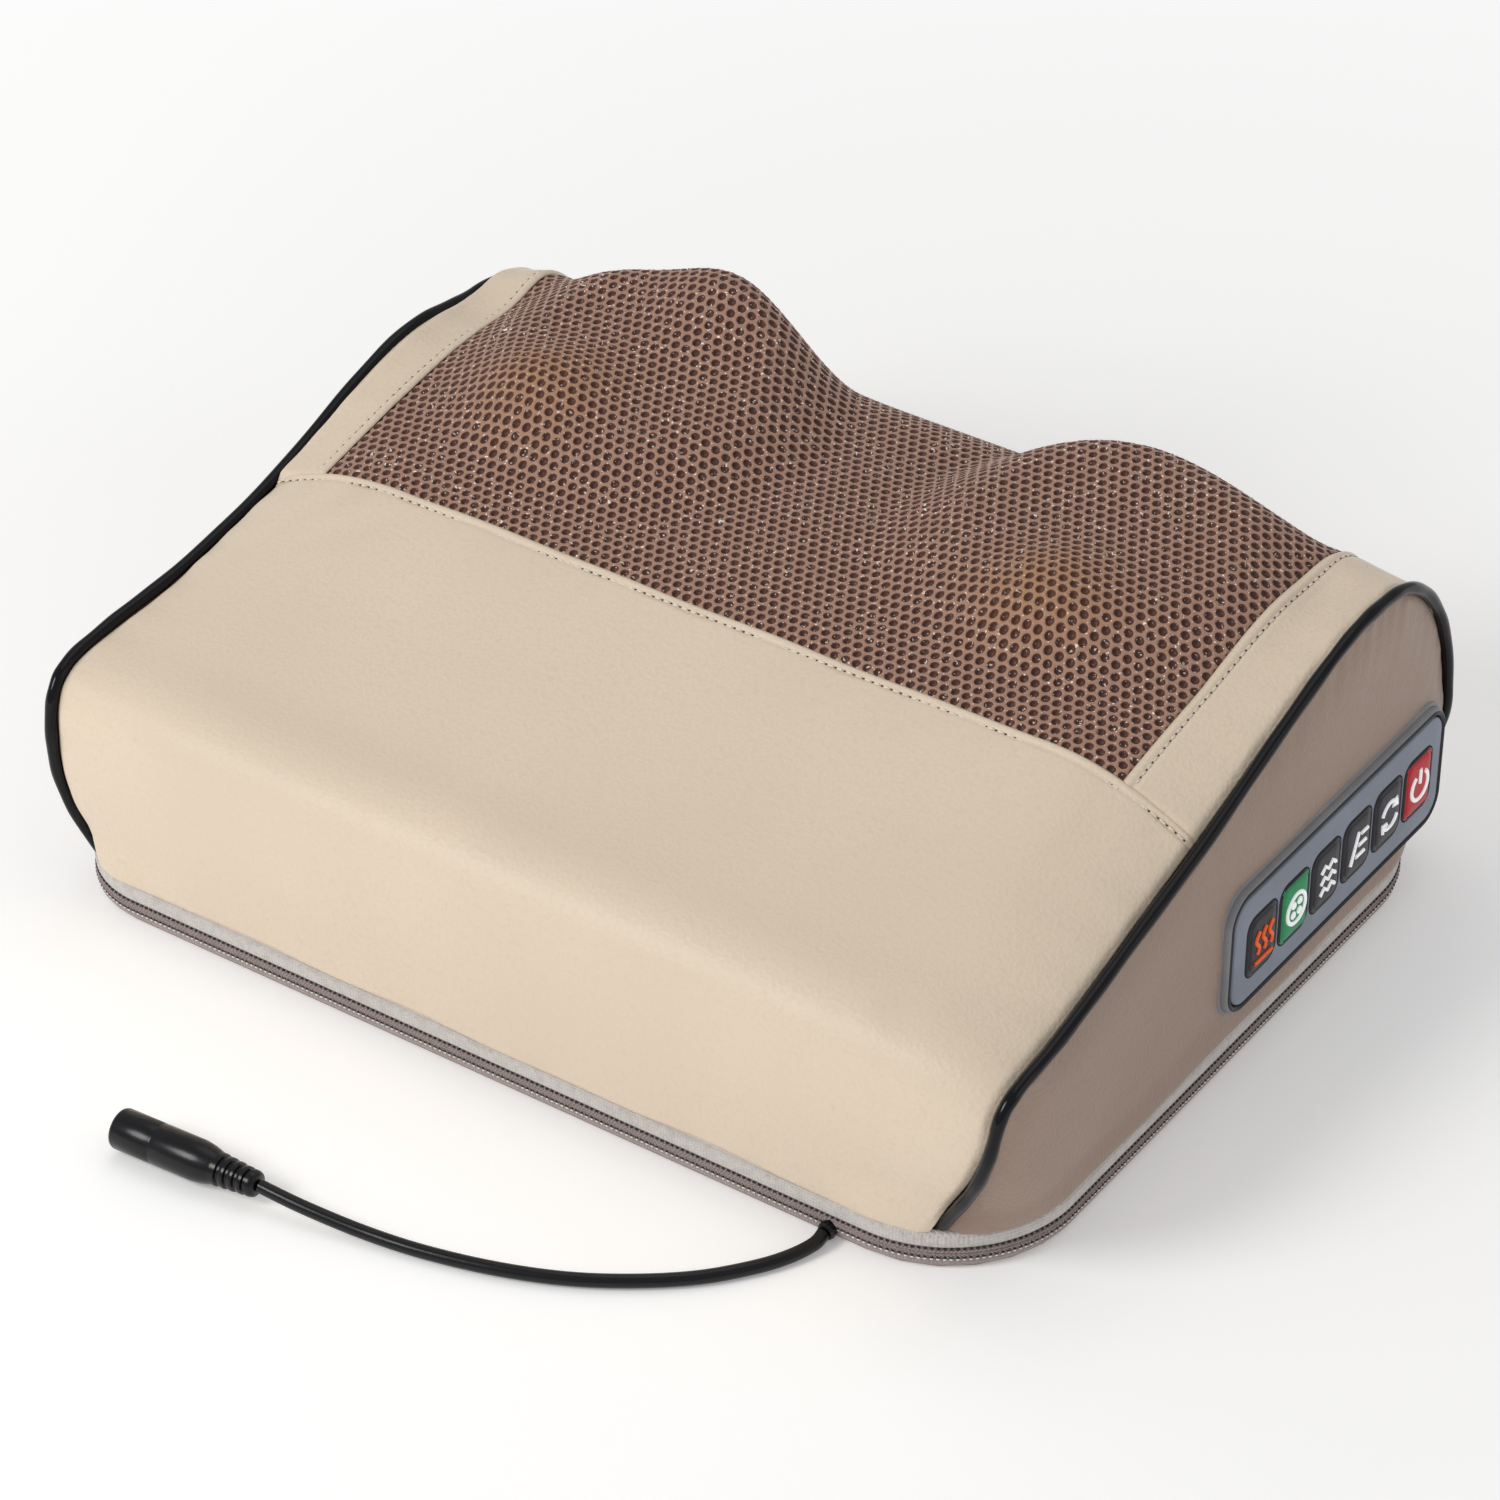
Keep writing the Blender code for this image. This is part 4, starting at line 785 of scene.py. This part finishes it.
def topstitch(name, x, length):
    """A row of stitches along a line on a leathercloth panel, with dark beads between them as painted shade
    in their needle holes.
    """
    station = station_at(length)
    points, normals = cover(x, station), cover_normal(x, station)
    along = np.gradient(points, axis=0)
    run = run_along(points)
    where = np.arange(0.0015, run[-1], STITCH_PITCH)

    def sampled(values, places):
        return np.stack([np.interp(places, run, values[:, k]) for k in range(3)], -1)

    def row(suffix, places, rise, size, finish):
        up = sampled(normals, places)
        centres = sampled(points, places) + up * rise
        beads(name + suffix, centres, sampled(along, places), up, size, "cream_leathercloth", finish)

    row("_stitches", where, 0.00044, (0.0021, 0.00070, 0.00060), "cream_thread")
    # painted shade: dark beads between the stitches stand in for the shade in the needle holes
    row("_holes", where + STITCH_PITCH / 2, 0.00036, (0.00080, 0.00070, 0.00034), "needle_hole")


def make_topstitching():
    many = 400
    low, high = length_at(TOP_SEAM), length_at(BACK_SEAM)
    rows = (("front_seam", TOP_SEAM, low - STITCH_INSET), ("back_seam", BACK_SEAM, high + STITCH_INSET))
    for name, seam, row in rows:
        half = [float(edge(np.array(seam))) for edge in (left_edge, right_edge)]
        topstitch(name, np.linspace(half[0] + 0.002, half[1] - 0.002, many), np.full(many, row))
    up = np.linspace(low + 0.001, high - 0.001, many)
    topstitch("left_strip_seam", np.full(many, MESH_LEFT - STITCH_INSET), up)
    topstitch("right_strip_seam", np.full(many, MESH_RIGHT + STITCH_INSET), up)


# ---- ends and piping
def corner_arc(corner, foot_x):
    """A base corner as the cover meets it: radius, X of the centre, and turn to the piping's foot."""
    radius, centre_x = corner - SKIN, BASE_HALF_X - corner
    return radius, centre_x, math.acos((foot_x - centre_x) / radius)


def base_line(side, share):
    """Points on the base's outline round an end, from the front foot to the back foot, with X positive."""
    number = 0 if side < 0 else 1
    corner = FRONT_CORNERS[number]
    radius, centre_x, turn = corner_arc(corner, FRONT_FEET[number][0])
    back_radius, back_x, back_turn = corner_arc(BACK_CORNER, BACK_FOOT[0])
    front, back = BASE_FRONT + corner, BASE_BACK - BACK_CORNER
    curved, straight = radius * turn, back - front
    run = share * (curved + straight + back_radius * back_turn)
    past = run - curved - straight
    at_front, at_back = run < curved, run > curved + straight
    angle = np.where(at_front, run / radius - turn, np.clip(past / back_radius, 0, None))
    y = np.where(at_front, front, np.where(at_back, back, front + run - curved))
    reach = np.where(at_back, back_radius, radius)
    x = np.where(at_back, back_x, centre_x) + reach * np.cos(angle)
    return np.stack([x, y + np.where(at_front | at_back, reach * np.sin(angle), 0)], -1)


def inward(side, station):
    """The direction in an end's plane from the piping towards the middle of the end, as (Y, Z)."""
    along = change(end_line, side, station)
    return unit(np.stack([along[..., 1], -along[..., 0]], -1))


def make_end_panel(name, side, replaces):
    """One end's leathercloth, gathered a little under the piping and full in the middle."""
    foot = 0.012
    share = np.linspace(foot, 1 - foot, 190)
    station = LAST * share
    edge = end_line(side, station) + inward(side, station) * PIPING_ROOM
    high = np.concatenate([half_width(side, station)[:, None], edge], -1)
    low = at_height(base_line(side, share), COVER_BOTTOM)
    drop = np.linalg.norm(high - low, axis=1)[:, None]
    down = graded(1.0, 0.010, 0.022, 0.12)[None, :]
    points = high[:, None] + (low - high)[:, None] * down[..., None]
    from_piping, from_base = drop * down, drop * (1 - down)
    run = share[:, None] * END_RUN
    gathers = puckers(from_piping, run, 0.0085, 0.00018) + puckers(from_piping, run + 0.004, 0.031, 0.00026)
    belly = 0.0016 * np.sin(math.pi * np.clip(down, 0, 1)) * eased(drop / 0.05)
    tuck = tucked_edge(from_piping) * 0.6 - 0.0011 * bell(from_piping, 0.009)
    offset = belly + tuck + foot_edge(from_base, 0.0014) + gathers
    offset = offset + 0.00018 * np.sin(run * 60 + down * 7) * eased(from_piping / 0.01)
    normals = unit(np.cross(np.gradient(points, axis=0), np.gradient(points, axis=1)))
    normals = normals * np.sign(normals[..., :1].mean())
    points = points + normals * offset[..., None]
    faces = grid_faces(*points.shape[:2])
    flat = points.reshape(-1, 3)
    if side > 0:
        past = np.clip(abs(flat[:, 1:] - PANEL_CENTRE) - np.array(PANEL_SIZE) / 2 + PANEL_CORNER, 0, None)
        hidden = np.hypot(past[:, 0], past[:, 1]) < PANEL_CORNER - 0.0006
        faces = faces[~hidden[faces].all(axis=1)]
    else:
        faces = faces[:, ::-1]
    flat = flat * np.array((side, 1, 1))
    mesh = mesh_from(name, flat, faces[:, ::-1])

    def drop_loose(bm):
        bmesh.ops.delete(bm, geom=[v for v in bm.verts if not v.link_faces], context="VERTS")

    reworked(mesh, drop_loose)
    thicken(piece(name, mesh, "taupe_leathercloth", replaces), LEATHER_THICKNESS)


def frames_along(points):
    """Directions and two cross directions along a path, turning as little as possible."""
    along = unit(np.gradient(points, axis=0))
    side = np.zeros_like(points)
    side[0] = unit(np.cross(along[0], (0.3, 0.5, 0.8)))
    for i in range(1, len(points)):
        side[i] = unit(side[i - 1] - along[i] * np.dot(side[i - 1], along[i]))
    return along, side, np.cross(along, side)


def swept(name, points, radii, sides=16):
    """A closed tube mesh along a path, with a radius at each point."""
    along, side, other = frames_along(points)
    turn = np.arange(sides) * 2 * math.pi / sides
    ring = np.cos(turn)[None, :, None] * side[:, None] + np.sin(turn)[None, :, None] * other[:, None]
    body = points[:, None] + ring * np.asarray(radii)[:, None, None]
    caps = np.stack([points[0] - along[0] * radii[0] * 0.4, points[-1] + along[-1] * radii[-1] * 0.4])
    faces = [tuple(f) for f in grid_faces(len(points), sides, around=True)]
    last = len(points) * sides
    for k in range(sides):
        faces.append((last, (k + 1) % sides, k))
        faces.append((last + 1, last - sides + k, last - sides + (k + 1) % sides))
    return outward(mesh_from(name, np.concatenate([body.reshape(-1, 3), caps]), faces))


def make_piping(name, side, replaces):
    """The glossy welt, a little uneven where its flange is sewn."""
    station = np.linspace(0, LAST, 420)
    profile = end_line(side, station)
    z = np.maximum(profile[:, 1], COVER_BOTTOM + PIPING_RADIUS)
    points = np.stack([side * half_width(side, station), profile[:, 0], z], -1)
    run = np.linspace(0, PIPING_RUN, len(station))
    radii = PIPING_RADIUS * (1 + 0.035 * np.sin(run * 330) + 0.03 * np.sin(run * 141 + side))
    piece(name, swept(name, points, radii), "black_vinyl", replaces)


# ---- zip
def base_loop(inset, pitch):
    """Points round the base's outline, a pitch apart and moved in by inset, and directions outwards."""
    left, right = FRONT_CORNERS
    corners = [
        (BASE_HALF_X - right, BASE_FRONT + right, right),
        (BASE_HALF_X - BACK_CORNER, BASE_BACK - BACK_CORNER, BACK_CORNER),
        (BACK_CORNER - BASE_HALF_X, BASE_BACK - BACK_CORNER, BACK_CORNER),
        (left - BASE_HALF_X, BASE_FRONT + left, left),
    ]
    places, angles = [], []
    for quarter, (x, y, radius) in enumerate(corners):
        turn = np.radians(90 * (quarter - 1) + np.linspace(0, 90, int(radius * math.pi / 2 / pitch) + 1))
        curved = np.stack([x + (radius - inset) * np.cos(turn), y + (radius - inset) * np.sin(turn)], -1)
        after_x, after_y, after = corners[(quarter + 1) % 4]
        reach = after - inset
        end = np.array((after_x + reach * math.cos(turn[-1]), after_y + reach * math.sin(turn[-1])))
        count = max(int(np.linalg.norm(end - curved[-1]) / pitch), 1)
        straight = curved[-1] + (end - curved[-1]) * (np.arange(1, count) / count)[:, None]
        places += [curved, straight]
        angles += [turn, np.full(count - 1, turn[-1])]
    angles = np.concatenate(angles)
    return np.concatenate(places), np.stack([np.cos(angles), np.sin(angles)], -1)


def base_band(name, section, slot, finish, replaces):
    """A band round the base from a closed section of (inset, z) points."""
    places, out = base_loop(0.0, 0.0020)
    rings = [at_height(places - out * inset, z) for inset, z in section]
    rings.append(rings[0])
    mesh = outward(mesh_from(name, np.concatenate(rings), grid_faces(len(rings), len(places), around=True)))
    piece(name, mesh, slot, replaces, [finish], smooth=50)


def zip_stitches(name, z, inset, pitch, size, slot, finish, lean):
    """A row of stitches round the base at a height, each leaning out of the row by lean."""
    places, out = base_loop(inset, pitch)
    centres, up = at_height(places, z), at_height(out, 0.0)
    along = np.cross((0.0, 0.0, 1.0), up) + np.array((0, 0, lean))
    beads(name, centres, along, up, size, slot, finish)


def make_zip():
    """The tapes with their sewn rows, and the coil's teeth between them."""
    upper = [(0.0001, 0.0072), (-0.0004, 0.0078), (-0.0006, 0.0095), (-0.0005, 0.0112), (0.0000, 0.0121),
             (0.0010, 0.0126), (0.0018, 0.0122), (0.0016, 0.0072)]
    base_band("upper_tape", upper, "zip_tape", "zip_tape", "zipper_upper_tape")
    coil = [(0.0002, 0.0042), (-0.0003, 0.0046), (-0.0005, 0.0052), (-0.0001, 0.0056), (-0.0005, 0.0060),
            (-0.0003, 0.0067), (0.0002, 0.0070), (0.0014, 0.0070), (0.0014, 0.0042)]
    base_band("coil_tape", coil, "zip_coil", "zip_mauve", "zipper_coil")
    lower = [(0.0012, 0.0006), (0.0003, 0.0010), (-0.0002, 0.0018), (-0.0003, 0.0030), (0.0001, 0.0040),
             (0.0016, 0.0040), (0.0020, 0.0022), (0.0020, 0.0006)]
    base_band("lower_tape", lower, "zip_tape", "zip_mauve", "zipper_lower_tape")
    dark, light, tooth = (0.0011, 0.00085, 0.00060), (0.0010, 0.00060, 0.00055), (0.0015, 0.00045, 0.00045)
    for name, z, inset, pitch, size, finish, lean in (
        ("upper_zip_stitches", 0.0071, -0.0004, ZIP_PITCH, dark, "zip_thread", 0.0),
        ("lower_zip_stitches", 0.0042, -0.0005, ZIP_PITCH, dark, "zip_thread", 0.0),
        # painted glints: a row of pale beads stands in for sparkle along the lower tape
        ("zip_glints", 0.0034, -0.0003, ZIP_PITCH, light, "zip_glint", 0.0),
        ("upper_zip_teeth", 0.0063, -0.0005, TOOTH_PITCH, tooth, "zip_coil", 0.8),
        ("lower_zip_teeth", 0.0049, -0.0005, TOOTH_PITCH, tooth, "zip_coil", -0.8),
    ):
        zip_stitches(name, z, inset, pitch, size, "zip_coil", finish, lean)
    hem = (0.0016, 0.0004, 0.0003)
    zip_stitches("hem_stitches", 0.0113, -0.0004, HEM_PITCH, hem, "zip_tape", "zip_tape", 0.0)


# ---- control panel
def arc(radius, start, end, steps=18, centre=(0, 0)):
    """Points on an arc about a centre, between two angles in degrees."""
    angles = [math.radians(start + (end - start) * i / steps) for i in range(steps + 1)]
    return [(centre[0] + radius * math.cos(a), centre[1] + radius * math.sin(a)) for a in angles]


def rounded_outline(size, corner, centre, margin, steps=10):
    """Points round a rounded rectangle in Y and Z, grown by a margin."""
    radius = max(corner + margin, 0.0003)
    half_y, half_z = size[0] / 2 + margin - radius, size[1] / 2 + margin - radius
    points = []
    for quarter, (sy, sz) in enumerate(((1, -1), (1, 1), (-1, 1), (-1, -1))):
        middle = (centre[0] + sy * half_y, centre[1] + sz * half_z)
        points += arc(radius, 90 * quarter - 90, 90 * quarter, steps, middle)
    return np.array(points)


def loft(name, outline, levels, ring=False):
    """A closed mesh through an outline grown by each level's margin at its X. A ring closes on itself."""
    rings = []
    for margin, x in levels:
        flat = outline(margin)
        rings.append(np.concatenate([np.full((len(flat), 1), x), flat], -1))
    count = len(rings[0])
    if ring:
        rings.append(rings[0])
    faces = [tuple(f) for f in grid_faces(len(rings), count, around=True)]
    if not ring:
        faces.append(tuple(range(count)))
        faces.append(tuple(range((len(rings) - 1) * count, len(rings) * count)))
    return outward(mesh_from(name, np.concatenate(rings), faces))


def key_place(number):
    """The middle of a key, as (Y, Z)."""
    return PANEL_CENTRE[0] + 0.0005 + (number - 2.5) * KEY_PITCH, PANEL_CENTRE[1] - 0.0005


def key_outline(number):
    """A key's outline, which takes a margin."""
    return lambda margin: rounded_outline(KEY_SIZE, KEY_CORNER, key_place(number), margin, 8)


def make_panel():
    """The control panel's rim, its collar in the cloth, its grey plate with six windows, and the keys."""
    face = PANEL_FACE_X

    def whole(margin):
        return rounded_outline(PANEL_SIZE, PANEL_CORNER, PANEL_CENTRE, margin)

    levels = [(0.0000, 0.1552), (0.0002, 0.1600), (0.0002, face - 0.0018), (-0.0001, face - 0.0008),
              (-0.0006, face - 0.0002), (-0.0012, face + 0.0001), (-0.0018, face - 0.0001),
              (-0.0022, face - 0.0006), (-0.0023, face - 0.0020), (-0.0060, face - 0.0022),
              (-0.0060, 0.1552)]
    rim = loft("control_rim", whole, levels, ring=True)
    # painted highlight: the lip's outer faces take the lighter grey, the rest the dark rubber
    for polygon in rim.polygons:
        away = Vector((polygon.center.y - PANEL_CENTRE[0], polygon.center.z - PANEL_CENTRE[1]))
        outer = polygon.normal.yz.dot(away) > 0 and polygon.center.x < face - 0.0004
        polygon.material_index = 1 if outer else 0
    piece("control_rim", rim, "panel_rubber", "control_housing", ["panel_rubber", "panel_edge"], smooth=40)
    # painted highlight: the collar takes the lighter grey as well
    skirt = [(0.0003, 0.1596), (0.0012, 0.1610), (0.0013, 0.1622), (0.0010, 0.1632), (0.0003, 0.1636)]
    collar = loft("control_collar", whole, skirt + [(-0.0002, 0.1632), (-0.0002, 0.1600)], ring=True)
    piece("control_collar", collar, "panel_rubber", None, ["panel_edge"], smooth=50)

    plate = loft("control_plate", whole, [
        (-0.0026, face - 0.0018), (-0.0026, face - 0.0005), (-0.0029, face - 0.0001),
        (-0.0036, face + 0.0001),
    ])
    window = [(0.0003, face - 0.01), (0.0003, face + 0.01)]
    cutters = [new_object("window", loft("window", key_outline(i), window)) for i in range(len(KEY_NAMES))]
    made = new_object("plate_blank", plate)
    for cutter in cutters:
        cut = made.modifiers.new("Window", "BOOLEAN")
        cut.operation = "DIFFERENCE"
        cut.object = cutter
    bpy.context.view_layer.update()
    cut_plate = bpy.data.meshes.new_from_object(made.evaluated_get(bpy.context.evaluated_depsgraph_get()))
    for obj in (made, *cutters):
        bpy.data.objects.remove(obj)
    cut_plate.materials.clear()
    piece("control_plate", cut_plate, "panel_grey", "control_face", smooth=35)

    for number, name in enumerate(KEY_NAMES):
        make_key(number, name)


def make_key(number, name):
    """A soft key: a dark rim, a raised pad that is coloured on two keys, and its icon."""
    face, centre = PANEL_FACE_X, key_place(number)
    levels = [(0.0006, face - 0.0042), (0.0006, face - 0.0028), (0.0, face - 0.0026), (0.0, face - 0.0003),
              (-0.0003, face + 0.0003), (-0.0009, face + 0.0005), (-0.0012, face + 0.0003),
              (-0.0014, face + 0.0003), (-0.0017, face + 0.0006), (-0.0024, face + 0.0008),
              (-0.0045, face + 0.0009)]
    mesh = loft(name + "_pad", key_outline(number), levels)
    inner = -0.0014 + KEY_SIZE[0] / 2
    for polygon in mesh.polygons:
        y, z = polygon.center.y - centre[0], polygon.center.z - centre[1]
        within = abs(y) < inner and abs(z) < KEY_SIZE[1] / 2 - 0.0014
        polygon.material_index = 1 if within and polygon.center.x > face + 0.0002 else 0
    finish, key = {"power": "key_red", "mode": "key_green"}.get(name, "key_dark"), name + "_key"
    piece(name + "_pad", mesh, finish, key, ["key_dark", finish], key, 50)
    colour = "icon_orange" if name == "heat" else "icon_white"
    strokes = [[(face + 0.00088, centre[0] + u * ICON_GRID, centre[1] + v * ICON_GRID) for u, v in stroke]
               for stroke in icon_strokes()[name]]
    wires(name + "_icon", strokes, ICON_LINE, 1, colour, key)


def wires(name, lines, radius, facets, finish, body, replaces=None):
    """Round wires along lines of points, as a curve object."""
    curve = bpy.data.curves.new(name, "CURVE")
    curve.dimensions = "3D"
    curve.bevel_depth = radius
    curve.bevel_resolution = facets
    curve.use_fill_caps = True
    for line in lines:
        spline = curve.splines.new("POLY")
        spline.points.add(len(line) - 1)
        for point, place in zip(spline.points, line):
            point.co = (*place, 1)
    curve.materials.append(FINISHES[finish])
    return show(new_object(name, curve), body, replaces)


def icon_strokes():
    """Each key's icon, as strokes of points on a grid of ICON_GRID from the key's middle."""
    waves = [[(u + 0.9 * math.sin(i * 0.9), -2.6 + i * 0.85) for i in range(9)] for u in (-3.2, 0.0, 3.2)]
    nodes = [arc(0.55, 0, 360, 8, (u, v)) for u in (-1.5, 1.5) for v in (-1.5, 1.5)]
    bars = [[(-0.4 + v * 0.35, v), (3.4 + v * 0.2, v)] for v in (-3.0, 0.2, 3.4)]
    return {
        "heat": waves + [[(-4.2, -5.2), (4.2, -5.2)]],
        "mode": [arc(4.4, 0, 360, 28)] + nodes,
        "strength": [
            [(-3.6 + i * 1.8, v + (0.8 if i % 2 else -0.8)) for i in range(5)] for v in (-3.4, 0.0, 3.4)
        ],
        "speed": [[(-4.0, -4.2), (-0.6, 4.6)]] + bars,
        "direction": [
            arc(4.0, 28, 160), arc(4.0, 208, 340),
            [(3.1, 4.1), (3.6, 1.6), (1.3, 2.2)], [(-3.1, -4.1), (-3.6, -1.6), (-1.3, -2.2)],
        ],
        "power": [arc(4.2, 125, 415, 26), [(0, 5.2), (0, 0.8)]],
    }


# ---- cord and socket
def make_socket():
    """The inline socket with its ribbed strain relief."""
    profile = [(0.0, 0.0003), (0.0030, 0.0003), (0.0036, 0.0008), (0.0039, 0.0018), (0.0039, 0.0026)]
    for i in range(4):
        start, rib = 0.0026 + 0.0028 * i, 0.0040 + 0.00022 * i
        profile += [(rib - 0.0007, start + 0.0003), (rib - 0.0007, start + 0.0010), (rib, start + 0.0013),
                    (rib + 0.0001, start + 0.0020), (rib, start + 0.0027)]
    end, wide = SOCKET_LENGTH, SOCKET_RADIUS
    profile += [(0.0049, 0.0145), (0.0056, 0.0172), (wide, 0.0200), (wide, 0.0330),
                (wide - 0.0001, 0.0333), (wide - 0.0001, 0.0338), (wide, 0.0341), (wide, end - 0.0010),
                (wide - 0.0003, end - 0.0003), (wide - 0.0008, end), (0.0033, end),
                (0.0029, end - 0.0004), (0.0029, end - 0.0100), (0.0, end - 0.0100)]
    sides = 40
    turn = np.arange(sides) * 2 * math.pi / sides
    flat = np.stack([np.cos(turn), np.sin(turn)], -1)
    rings = [at_height(flat * radius, z) for radius, z in profile]
    faces = grid_faces(len(rings), sides, around=True)
    mesh = outward(mesh_from("socket", np.concatenate(rings), faces))
    heading = Vector(SOCKET_HEADING).normalized()
    turn = heading.to_track_quat("Z", "Y").to_matrix().to_4x4()
    mesh.transform(Matrix.Translation(SOCKET_START) @ turn)
    return piece("socket", mesh, "cable_black", "dc_socket", smooth=45)


def make_cord():
    """The power cord, as it lies from its gland to its socket."""
    route = curve_at(CORD_ROUTE, np.linspace(0, len(CORD_ROUTE) - 1, 70))
    cord = wires("cord", [route], CORD_RADIUS, 5, "cable_black", "pillow", "power_cord")
    make_socket()


# ---- foam and the CAD's own nodes
def make_foam(name, node):
    """A foam block with cut edges softened, in its solid's place."""
    source = frame["nodes"][node]
    mesh = source.data.copy()
    mesh.materials.clear()
    obj = piece(name, mesh, "foam", node, smooth=40)
    bevel = obj.modifiers.new("Edges", "BEVEL")
    bevel.width = 0.0025
    bevel.segments = 2
    bevel.limit_method = "ANGLE"
    bevel.angle_limit = math.radians(40)


def finish_nodes():
    """Gives each of the part's own nodes the finish of its material slot."""
    slots = {entry["node"]: entry["material_slot"] for entry in frame["record"]["subparts"]}
    for name, obj in frame["nodes"].items():
        obj.data.materials.clear()
        obj.data.materials.append(FINISHES[slots[name]])


make_camera()
make_studio()
FINISHES = make_finishes()
make_cord()
finish_nodes()
make_leathercloth()
make_spacer_mesh()
make_topstitching()
make_end_panel("left_end_leathercloth", -1, "left_end_panel")
make_end_panel("right_end_leathercloth", 1, "right_end_panel")
make_piping("left_welt", -1, "left_piping")
make_piping("right_welt", 1, "right_piping")
make_zip()
make_panel()
for foam in ("front_foam", "left_side_foam", "right_side_foam"):
    make_foam(foam + "_block", foam)
